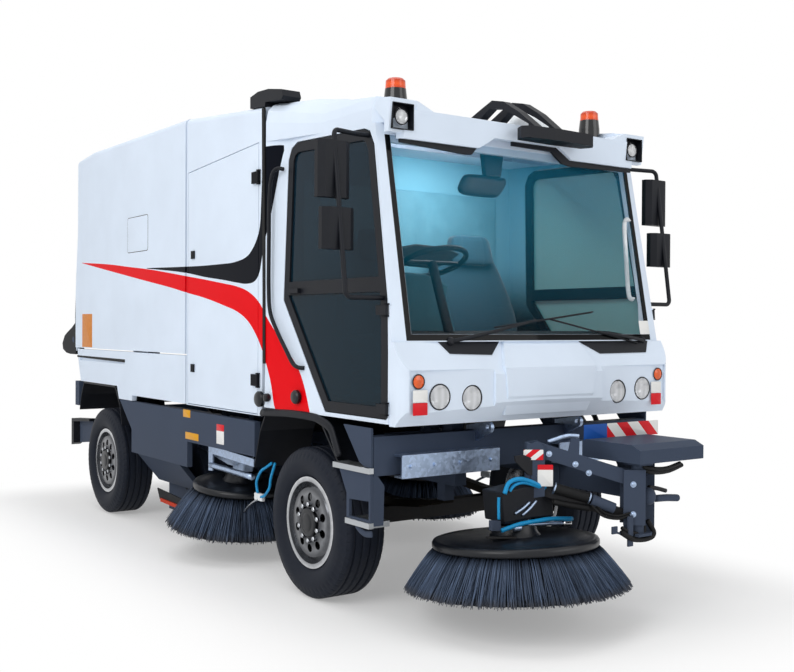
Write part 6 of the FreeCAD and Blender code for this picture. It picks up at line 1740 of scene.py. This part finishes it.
# ---- body fittings ---------------------------------------------------------
@dataclass
class BodyTrim:
    """Filler hatch, steps with their treads and bumper bolts; sizes in metres."""

    tread_pitch: float = 0.034
    lug_height: float = 0.0016
    tread_grid: tuple[int, int] = (60, 42)
    hatch: tuple[float, float, float, float] = (-2.865, -2.44, 2.199, 2.474)
    hatch_gap: float = 0.005

    def step(self, side: int, word: str) -> None:
        """Hanging step: side plate with its opening, flange, hanger, strap and four treads.

        Args:
            side: -1 on the right, 1 on the left.
            word: name of the side.
        """
        outer = ((0.525, 0.555), (0.76, 0.548), (0.76, 0.828), (0.45, 0.828), (0.525, 0.70))
        inner = ((0.552, 0.578), (0.744, 0.582), (0.744, 0.682), (0.648, 0.677), (0.552, 0.672))
        rows = [[at(x, side * y, z) for x, z in loop]
                for loop, y in ((outer, 1.058), (outer, 1.075), (inner, 1.075), (inner, 1.058))]
        side_plate = surface("step_plate_" + word, np.array(rows), round_rows=True, smooth=False)
        dress(side_plate, SLATE, stands_for=["step_units"] if side < 0 else [])
        flange = ((1.057, 0.548), (0.99, 0.548), (0.985, 0.76), (1.027, 0.8145), (1.057, 0.8145))
        dress(slab("step_flange_" + word, [(side * y, z) for y, z in flange], 0.748, 0.012), SLATE)
        hanger = ((0.485, 1.074), (0.76, 1.072), (0.76, 0.862), (0.70, 0.862), (0.648, 0.882))
        faces = ([at(x, side * y, z) for x, z in hanger] for y in (1.060, 1.072))
        dress(prism("step_hanger_" + word, *faces), SLATE)
        strap = [at(x, side * 1.06, z) for x, z in ((0.60, 0.535), (0.64, 0.512), (0.69, 0.50), (0.755, 0.508))]
        dress(sweep("step_strap_" + word, eased(strap, 6), ring(0.018, 8, 0.35), (0, 1, 0)), SLATE)
        for name, x0, x1, y0, y1, top in (("low", 0.525, 0.762, 1.055, 1.085, 0.567),
                                          ("sill", 0.525, 0.747, 0.94, 1.055, 0.567),
                                          ("high", 0.40, 0.665, 0.985, 1.088, 0.860),
                                          ("corner", 0.665, 0.765, 1.058, 1.088, 0.860)):
            near, far = sorted((side * y0, side * y1))
            self.tread(f"tread_{name}_{word}", (AXLE_X + x0, near, top - 0.030), (AXLE_X + x1, far, top))

    def tread(self, name: str, low: Vec, high: Vec) -> None:
        """Chequer plate on a step, with slanted lugs.

        Formula: lugs are where the product of two crossed cosines passes a limit, alternating in
        slant from one pitch to the next.

        Args:
            name: name of the plate.
            low: lowest corner.
            high: highest corner.
        """
        x, y = np.meshgrid(*(np.linspace(*ends) for ends in zip(low, high, self.tread_grid)), indexing="ij")
        phase = 2 * math.pi / self.tread_pitch
        slant = np.where((np.floor(x / self.tread_pitch) + np.floor(y / self.tread_pitch)) % 2 > 0, 1.0, -1.0)
        along = np.cos((x + slant * y) * phase * 0.5) ** 2
        across = np.abs(np.cos((x - slant * y) * phase * 0.5))
        lug = np.clip((along - 0.82) / 0.1, 0, 1) * np.clip((0.9 - across) / 0.2, 0, 1)
        top = np.stack([x, y, high[2] + self.lug_height * lug], -1)
        under = np.stack([x, y, np.full_like(x, low[2])], -1)
        dress(sharpen(surface(name, np.concatenate([top, under[:, ::-1]], 1)), 20), TREAD_ALLOY)

    def build(self) -> None:
        """Make the fittings."""
        x0, x1, z0, z1 = self.hatch
        gap = 2 * self.hatch_gap
        # the black plate a little wider than the hatch is a painted shadow in the gap around it
        for name, wider, depth, corner, finish in (("filler_hatch", 0.0, 0.0016, 0.02, WHITE),
                                                   ("filler_hatch_shadow_gap", gap, 0.0007, 0.024, HOSE_BLACK)):
            piece = plate(name, at((x0 + x1) / 2, -SKIN_Y, (z0 + z1) / 2), (1, 0, 0), (0, 0, 1),
                          (x1 - x0 + wider, z1 - z0 + wider), depth, corner)
            dress(piece, finish, "hopper")
        for side, word in SIDES:
            self.step(side, word)
        centres = np.array([at(0.8303, side * y, 0.8625) for side, _ in SIDES for y in (0.30, 0.52, 0.70, 0.86)])
        runs = ((0.0, 0.014), (0.003, 0.014), (0.003, 0.0095), (0.010, 0.0095), (0.012, 0.007))
        dress(hexagons("channel_bolts", centres, (1, 0, 0), ((0, 1, 0), (0, 0, 1)), runs), ZINC)


# ---- hoses -----------------------------------------------------------------
@dataclass
class Pipe:
    """Rigidly clipped pipe or hose run: points forward of the front axle, radius, finish, body."""

    name: str
    points: tuple[tuple[float, float, float], ...]
    radius: float
    finish: Finish
    body: str

    def build(self) -> None:
        """Make the run and dress it."""
        line = eased([at(*point) for point in self.points], 8)
        dress(sweep(self.name, line, ring(self.radius, 10), up=(0.21, 0.13, 1)), self.finish, self.body)


PIPES = (
    Pipe("water_hose_a", ((1.195, -0.515, 0.735), (1.195, -0.486, 0.789), (1.20, -0.424, 0.806),
                          (1.20, -0.351, 0.791), (1.195, -0.244, 0.750), (1.185, -0.150, 0.731)), 0.012, BLUE_HOSE,
         "front_head"),
    Pipe("water_hose_b", ((1.19, -0.476, 0.745), (1.195, -0.445, 0.775), (1.195, -0.382, 0.783),
                          (1.195, -0.297, 0.760), (1.19, -0.189, 0.718)), 0.009, BLUE_HOSE, "front_head"),
    Pipe("water_hose_c", ((1.18, -0.542, 0.716), (1.18, -0.543, 0.67), (1.18, -0.541, 0.60)), 0.008, BLUE_HOSE,
         "front_head"),
    Pipe("spray_hose", ((1.185, -0.525, 0.540), (1.19, -0.412, 0.561), (1.19, -0.296, 0.566), (1.19, -0.166, 0.567),
                        (1.185, -0.01, 0.551)), 0.012, BLUE_HOSE, "front_head"),
    Pipe("spray_bar", ((1.17, -0.33, 0.548), (1.17, -0.20, 0.541), (1.17, -0.05, 0.527)), 0.011, ZINC, "front_head"),
    Pipe("spray_fitting_a", ((1.18, -0.435, 0.542), (1.18, -0.412, 0.541), (1.18, -0.39, 0.540)), 0.017, ZINC,
         "front_head"),
    Pipe("spray_fitting_b", ((1.18, -0.075, 0.532), (1.18, -0.05, 0.530), (1.18, -0.025, 0.528)), 0.019, CHROME,
         "front_head"),
    Pipe("shroud_clip_a", ((1.186, -0.433, 0.62), (1.19, -0.38, 0.645), (1.186, -0.329, 0.673)), 0.007, ZINC,
         "front_head"),
    Pipe("shroud_clip_b", ((1.186, -0.381, 0.607), (1.19, -0.33, 0.64), (1.186, -0.281, 0.676)), 0.007, ZINC,
         "front_head"),
    Pipe("link_sleeve_upper", (on_arm(0.455, 0.742, 0.035), on_arm(0.36, 0.715, 0.035), on_arm(0.27, 0.690, 0.035)),
         0.030, HOSE_BLACK, "front_lower_link"),
    Pipe("link_sleeve_lower", (on_arm(0.463, 0.668, 0.03), on_arm(0.37, 0.650, 0.03), on_arm(0.26, 0.633, 0.03)),
         0.018, HOSE_BLACK, "front_lower_link"),
    Pipe("sleeve_clip_a", (on_arm(0.462, 0.744, 0.035), on_arm(0.456, 0.742, 0.035)), 0.033, ZINC,
         "front_lower_link"),
    Pipe("sleeve_clip_b", (on_arm(0.272, 0.691, 0.035), on_arm(0.266, 0.689, 0.035)), 0.033, ZINC,
         "front_lower_link"),
    Pipe("lift_barrel", (on_arm(0.255, 0.683, 0.045), on_arm(0.18, 0.654, 0.045), on_arm(0.135, 0.636, 0.045)), 0.030,
         SLATE, "front_lower_link"),
    Pipe("link_hose_a", (on_arm(0.26, 0.655, 0.06), on_arm(0.20, 0.60, 0.07), on_arm(0.12, 0.585, 0.07),
                         on_arm(0.06, 0.600, 0.06)), 0.007, HOSE_BLACK, "front_lower_link"),
    Pipe("link_hose_b", (on_arm(0.24, 0.66, 0.06), on_arm(0.19, 0.615, 0.065), on_arm(0.12, 0.60, 0.065),
                         on_arm(0.05, 0.615, 0.06)), 0.006, HOSE_BLACK, "front_lower_link"),
    Pipe("upper_pipe", (on_arm(0.49, 0.99, 0.0), on_arm(0.39, 1.022, 0.0), on_arm(0.32, 1.022, 0.0)), 0.011, ZINC,
         "front_upper_link"),
    Pipe("swing_hose_a", ((1.50, 0.044, 0.519), (1.50, 0.136, 0.474), (1.50, 0.252, 0.464), (1.50, 0.299, 0.491),
                          (1.48, 0.27, 0.56)), 0.015, HOSE_BLACK, "front_post"),
    Pipe("swing_hose_b", ((1.49, 0.06, 0.54), (1.49, 0.14, 0.505), (1.49, 0.23, 0.50), (1.47, 0.25, 0.56)), 0.011,
         HOSE_BLACK, "front_post"),
    Pipe("cover_hose_a", ((1.475, 0.222, 0.860), (1.495, 0.245, 0.836), (1.50, 0.310, 0.826), (1.50, 0.416, 0.822),
                          (1.49, 0.539, 0.845)), 0.013, HOSE_BLACK, "chassis"),
    Pipe("cover_hose_b", ((1.50, 0.20, 0.862), (1.52, 0.28, 0.846), (1.52, 0.38, 0.842), (1.51, 0.50, 0.860)), 0.011,
         HOSE_BLACK, "chassis"),
    Pipe("cover_hose_c", ((1.46, 0.23, 0.840), (1.47, 0.32, 0.815), (1.47, 0.44, 0.812), (1.46, 0.56, 0.835)), 0.010,
         HOSE_BLACK, "chassis"),
    Pipe("swing_rod", ((1.46, 0.30, 0.735), (1.46, 0.37, 0.723), (1.46, 0.442, 0.704)), 0.012, CHARCOAL, "chassis"),
    Pipe("swing_barrel", ((1.46, 0.357, 0.668), (1.46, 0.45, 0.664), (1.46, 0.541, 0.655)), 0.020, SLATE, "chassis"),
)


# ---- flanks ----------------------------------------------------------------
@dataclass
class FlankTrim:
    """Seals, knobs, arch lips, rear plates, rubber strips and side brush linkage; sizes in metres."""

    side: int
    word: str

    def uprights(self, *rows: tuple[str, Sequence[Vec], float, float, Finish, str]) -> None:
        """Solids with an (x, z) outline between two distances from the middle plane.

        Args:
            rows: name stem, outline, near and far distance, finish and body of each.
        """
        for name, outline, near, far, finish, body in rows:
            faces = ([at(x, self.side * y, z) for x, z in outline] for y in (near, far))
            dress(prism(f"{name}_{self.word}", *faces), finish, body)

    def run(self, name: str, y: float, line: Sequence[Vec], steps: int, profile: np.ndarray, finish: Finish,
            body: str = "chassis", up: Vec = (0, 0, 1)) -> None:
        """Bent rod or hose in one plane along the flank.

        Args:
            name: name stem of the piece.
            y: distance of the plane from the middle plane.
            line: (x, z) points it passes through.
            steps: divisions between two points.
            profile: its section.
            finish: its finish.
            body: body it rides on.
            up: vector the section's second value leans to.
        """
        path = eased([at(x, self.side * y, z) for x, z in line], steps)
        dress(sweep(f"{name}_{self.word}", path, profile, up), finish, body)

    def knob(self, name: str, x: float, z: float, radius: float) -> None:
        """Domed black knob on the skin.

        Args:
            name: name stem of the piece.
            x: its station, forward of the front axle.
            z: its height.
            radius: its radius.
        """
        profile = ((-0.004, 0.0), (-0.004, radius * 0.7), (0.006, radius * 0.75), (0.012, radius), (0.030, radius),
                   (0.040, radius * 0.8), (0.044, radius * 0.4), (0.045, 0.0))
        piece = turned(f"{name}_{self.word}", profile, at(x, self.side * SKIN_Y, z), (0, self.side, 0), 32)
        dress(piece, BLACK_GLOSS)

    def build(self) -> None:
        """Make the fittings of one flank."""
        side, arm = self.side, "side_arm_" + self.word
        self.uprights(
            ("cab_seal", ((-0.546, 2.985), (-0.512, 2.985), (-0.492, 1.375), (-0.520, 1.375)), SKIN_Y - 0.004,
             SKIN_Y + 0.0068, HOSE_BLACK, "chassis"),
            ("panel_slot", ((-4.112, 1.334), (-2.92, 1.330), (-2.92, 1.305), (-4.112, 1.318)), SKIN_Y - 0.004,
             SKIN_Y + 0.0008, HOSE_BLACK, "chassis"))
        for name, x, z, radius in (("bay_knob", -0.535, 1.150, 0.050), ("bay_knob_small", -0.435, 1.165, 0.026),
                                   ("cab_knob", -0.071, 1.190, 0.042)):
            self.knob(name, x, z, radius)
        self.run("arch_lip", 1.046, ((-0.52, 1.066), (-0.18, 1.084), (0.10, 1.084), (0.20, 1.070), (0.304, 1.035),
                                     (0.359, 0.955), (0.398, 0.885)), 6, ring(0.024, 12, 0.55), BLACK_ABS,
                 up=(0, side, 0.4))
        self.uprights(
            ("rear_plate", ((-4.31, 0.725), (-3.95, 0.745), (-3.97, 0.552), (-4.30, 0.515)), 0.93, 0.942, SLATE,
             "chassis"),
            ("rear_rail", ((-4.42, 0.735), (-3.93, 0.765), (-3.93, 0.742), (-4.42, 0.705)), 0.90, 0.985, BLACK_ABS,
             "chassis"),
            ("rear_post", ((-4.42, 0.705), (-4.36, 0.708), (-4.36, 0.51), (-4.42, 0.488)), 0.90, 0.985, BLACK_ABS,
             "chassis"),
            ("rubber_flap", ((-2.55, 0.315), (-1.93, 0.283), (-1.96, 0.20), (-2.50, 0.235)), 0.895, 0.905,
             HOSE_BLACK, "chassis"),
            ("rubber_strip", ((-2.47, 0.246), (-2.09, 0.238), (-2.09, 0.210), (-2.46, 0.219)), 0.905, 0.915,
             SKIRT_RED, "chassis"),
            ("arm_bar", ((-1.467, 0.760), (-0.80, 0.735), (-0.80, 0.683), (-1.467, 0.706)), 0.944, 0.956, ZINC, arm),
            ("arm_end", ((-1.50, 0.752), (-1.433, 0.758), (-1.433, 0.585), (-1.50, 0.58)), 0.940, 0.952, ZINC, arm))
        self.run("arm_tube", 0.95, ((-1.466, 0.622), (-1.15, 0.617), (-0.83, 0.612)), 4, ring(0.021, 14), ZINC, arm)
        nozzle = block("spray_nozzle_" + self.word, at(-0.76, side * 0.96 - 0.014, 0.475),
                       at(-0.655, side * 0.96 + 0.014, 0.523), 0.006)
        dress(nozzle, WHITE_PLASTIC)
        self.run("spray_fork", 0.965, ((-0.70, 0.488), (-0.79, 0.45), (-0.87, 0.405), (-0.915, 0.372)), 6,
                 ring(0.010, 10), POLISHED)
        for name, line in (("a", ((-0.523, 0.740), (-0.60, 0.705), (-0.674, 0.668), (-0.73, 0.595), (-0.715, 0.525))),
                           ("b", ((-0.480, 0.744), (-0.535, 0.645), (-0.555, 0.578), (-0.62, 0.52), (-0.67, 0.505)))):
            self.run("spray_hose_" + name, 0.97, line, 8, ring(0.009, 10), BLUE_HOSE, up=(0.21, 1, 0.1))


# ---- front arm -------------------------------------------------------------
@dataclass
class ArmTrim:
    """Shroud, forks, tab, bolts and swing actuator of the front brush's arm; sizes in metres."""

    bolt: float = 0.011
    link_face: float = 0.030
    post_face: float = 0.047

    def stud(self, name: str, along: float, z: float, face: float, body: str) -> None:
        """Domed bolt head with its washer on the arm's outer face.

        Args:
            name: name of the piece.
            along: run from the post.
            z: height.
            face: run outwards to the face it sits on.
            body: body it rides on.
        """
        size = self.bolt
        profile = ((0.0, 0.0), (0.0, size * 1.5), (0.003, size * 1.5), (0.003, size), (0.009, size),
                   (0.012, size * 0.6), (0.012, 0.0))
        dress(turned(name, profile, at(*on_arm(along, z, face)), ARM_SIDE, 20), ZINC, body)

    def build(self) -> None:
        """Make the arm's fittings."""
        shroud = ((-0.527, 0.738), (-0.287, 0.764), (-0.156, 0.713), (-0.144, 0.577), (-0.296, 0.583),
                  (-0.505, 0.575))
        cheek = ((-0.425, 0.925), (-0.363, 0.928), (-0.147, 0.845), (-0.156, 0.795), (-0.178, 0.790), (-0.33, 0.818),
                 (-0.42, 0.897))
        bracket = ((-0.586, 0.597), (-0.525, 0.590), (-0.525, 0.536), (-0.586, 0.543))
        guard = ((-0.606, 0.514), (-0.273, 0.481), (-0.273, 0.469), (-0.606, 0.502))
        inner = ((-0.024, 0.516), (0.015, 0.516), (0.015, 0.556), (-0.024, 0.556))
        outer = ((0.098, 0.436), (0.136, 0.436), (0.136, 0.598), (0.098, 0.598))
        rung = ((0.0, 0.520), (0.113, 0.484), (0.113, 0.496), (0.0, 0.532))
        for name, outline, x, depth, soften, body, finish in (
                ("motor_shroud", shroud, 1.02, 0.162, 0.008, "front_head", BLACK_ABS),
                ("head_cheek", cheek, 1.165, 0.012, 0.0, "front_head", CHARCOAL),
                ("spray_bracket", bracket, 1.15, 0.03, 0.003, "front_head", SLATE),
                ("disc_guard", guard, 1.15, 0.035, 0.003, "front_head", CHARCOAL),
                ("swing_fork_inner", inner, 1.49, 0.012, 0.002, "front_post", SLATE),
                ("swing_fork_outer", outer, 1.49, 0.012, 0.002, "front_post", SLATE),
                ("swing_fork_rung", rung, 1.488, 0.008, 0.0, "front_post", SLATE)):
            dress(slab(name, outline, x, depth, soften), finish, body)
        tab = [at(*on_arm(*place, 0)) for place in ((0.392, 0.90), (0.325, 0.88), (0.322, 1.012), (0.369, 1.012))]
        faces = ([point + np.array(ARM_SIDE) * out for point in tab] for out in (0.018, self.link_face))
        dress(prism("link_tab", *faces), SLATE, "front_upper_link")
        for number, (along, z) in enumerate(((0.487, 0.928), (0.344, 0.873), (0.271, 0.826))):
            self.stud(f"link_bolt_{number}", along, z, self.link_face, "front_upper_link")
        for number, z in enumerate((0.767, 0.605)):
            self.stud(f"post_bolt_{number}", 0.033, z, self.post_face, "front_post")
        ball = ((-0.035, 0.0), (-0.035, 0.034), (-0.02, 0.046), (0.01, 0.048), (0.03, 0.036), (0.041, 0.016),
                (0.043, 0.0))
        dress(turned("swing_actuator", ball, at(1.475, 0.275, 0.69), (0.9, -0.3, 0.1), 32), SLATE)


# ---- stage -----------------------------------------------------------------
@dataclass
class Studio:
    """Camera, soft lamps and pale floor."""

    eye: tuple[float, float, float] = (5.375, -4.165, 1.618)
    yaw: float = 144.785
    pitch: float = -0.5636
    roll: float = 0.309
    lens_mm: float = 47.557
    sensor_mm: float = 36.0
    plan: tuple[float, float] = (3.0, 1.2)   # half the truck's length and width
    fade: float = 1.0                        # distance from the truck at which the floor is all white
    white_near: float = 0.3                  # share of white under the truck
    lit: float = 0.5                         # strength of the white that lights the truck
    floor_half: float = 60.0
    floor_z: float = -0.002

    def camera(self) -> None:
        """Camera from its yaw, pitch and roll.

        Formula: forward is (cos pitch cos yaw, cos pitch sin yaw, sin pitch); right is
        (sin yaw, -cos yaw, 0) turned towards up by the roll.
        """
        yaw, pitch, roll = (math.radians(value) for value in (self.yaw, self.pitch, self.roll))
        forward = np.array([math.cos(pitch) * math.cos(yaw), math.cos(pitch) * math.sin(yaw), math.sin(pitch)])
        flat_right = np.array([math.sin(yaw), -math.cos(yaw), 0.0])
        flat_up = np.cross(flat_right, forward)
        right = flat_right * math.cos(roll) + flat_up * math.sin(roll)
        up = np.cross(right, forward)
        data = bpy.data.cameras.new("camera")
        data.sensor_width = self.sensor_mm
        data.lens = self.lens_mm
        lens = bpy.data.objects.new("camera", data)
        turn = Matrix([[right[i], up[i], -forward[i]] for i in range(3)]).to_4x4()
        lens.matrix_world = Matrix.Translation(Vector(at(*self.eye))) @ turn
        bpy.context.scene.collection.objects.link(lens)
        bpy.context.scene.camera = lens

    def lamp(self, name: str, place: Vec, aim: Vec, size: float, power: float) -> bpy.types.Object:
        """Soft square lamp aimed at a point.

        Args:
            name: name of the lamp.
            place: its middle.
            aim: point it shines at.
            size: its width in metres.
            power: its power in watts.

        Returns:
            The lamp.
        """
        data = bpy.data.lights.new(name, "AREA")
        data.size, data.energy = size, power
        light = bpy.data.objects.new(name, data)
        light.location = place
        light.rotation_euler = (Vector(aim) - Vector(place)).to_track_quat("-Z", "Y").to_euler()
        bpy.context.scene.collection.objects.link(light)
        return light

    def surroundings(self) -> None:
        """White to the camera, in glass and in metal; a softer white that lights the truck."""
        world = bpy.data.worlds.new("studio")
        bpy.context.scene.world = world
        world.use_nodes = True
        world.node_tree.nodes.clear()
        graph = Graph(world.node_tree)
        strength = graph.span(graph.seen(), low=self.lit)
        back = graph.add("ShaderNodeBackground", {"Color": PLAIN_WHITE, "Strength": strength})
        graph.add("ShaderNodeOutputWorld", {"Surface": back.outputs["Background"]})

    def floor(self) -> None:
        """Wide pale floor that keeps the truck's shadow and fades to white around it.

        Formula: the white's share rises smoothly with the distance from the truck's outline in
        plan, which is the length of what |x| and |y| exceed its half length and half width by.
        """
        square = np.array([(-1, -1), (1, -1), (1, 1), (-1, 1)]) * self.floor_half
        corners = np.column_stack([square, np.full(4, self.floor_z)])
        ground = make_piece("floor", corners, [[0, 1, 2, 3]], smooth=False)
        finish = bpy.data.materials.new("pale_floor")
        finish.use_nodes = True
        tree = finish.node_tree
        shader = tree.nodes["Principled BSDF"]
        feed(tree, shader, {"Base Color": PLAIN_WHITE, "Roughness": 1.0, "Specular IOR Level": 0.0})
        graph = Graph(tree)
        past = graph.vector("SUBTRACT", graph.vector("ABSOLUTE", graph.place), (*self.plan, 0.0))
        far = graph.vector("LENGTH", graph.vector("MAXIMUM", past, (0.0, 0.0, 0.0)))
        share = graph.every(graph.eased(far, 0.0, self.fade, self.white_near), graph.seen())
        white = graph.add("ShaderNodeEmission", {"Color": PLAIN_WHITE, "Strength": 1.0})
        mixed = graph.add("ShaderNodeMixShader", {0: share, 1: shader.outputs["BSDF"], 2: white.outputs["Emission"]})
        feed(tree, tree.nodes["Material Output"], {"Surface": mixed.outputs["Shader"]})
        ground.data.materials.append(finish)

    def build(self) -> None:
        """Set the stage; the last lamp lights the lining behind the tinted glass from inside."""
        bpy.context.scene.view_settings.view_transform = "Standard"
        self.camera()
        self.surroundings()
        for name, place, aim, size, power in (("key", (5.5, -10.5, 8.0), (0.0, 0, 1.4), 7.0, 620),
                                              ("fill", (12.0, 5.0, 6.0), (1.0, 0, 1.4), 7.0, 260),
                                              ("top", (0.0, -1.0, 10.0), (0, 0, 1.0), 9.0, 260)):
            self.lamp(name, place, aim, size, power)
        inside = self.lamp("cab_lamp", tuple(at(0.25, 0.1, 2.66)), tuple(at(-0.30, -0.1, 1.9)), 0.5, 12)
        inside.visible_camera = False
        self.floor()


def repaint(name: str, finish: Finish) -> None:
    """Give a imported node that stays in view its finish.

    Args:
        name: name of the node.
        finish: its finish.
    """
    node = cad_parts[name]
    node.data.materials.clear()
    node.data.materials.append(finish.material())
    LOG.info("%s: %s", name, finish.name)


def main() -> None:
    """Build the stage and every sub-assembly in order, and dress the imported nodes."""
    logging.basicConfig(level=logging.INFO, format="%(name)s %(message)s")
    Studio().build()
    for name, finish in NODE_FINISH.items():
        repaint(name, finish)
    repaint("beacons", BeaconDome("polycarbonate_beacon", "amber", split_z=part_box("beacons")[1].z - 0.058))
    for place, station in (("front", AXLE_X), ("rear", AXLE_X - WHEELBASE)):
        for side, word in reversed(SIDES):
            RoadWheel(station, side, f"{place}_{word}").build()
    DiscBrush("front_brush", "front_brush", tuple(at(1.095, -0.335, 0.2)), 0.627, 0.456, 0.228, 3.9, 2600).build()
    for side, word in reversed(SIDES):
        brush = "side_brush_" + word
        DiscBrush(brush, brush, tuple(at(-1.36, side * 0.77, 0.2)), 0.530, 0.345, 0.270, -5.9, 2000, seed=8).build()
    for group in (LampSet(), CabTrim(), Seat(-0.43, "driver"), Seat(0.36, "passenger", 0.46, 0.6), *LABELS,
                  BodyTrim(), *PIPES, ArmTrim(), *(FlankTrim(*side) for side in SIDES)):
        group.build()


if __name__ == "__main__":
    main()
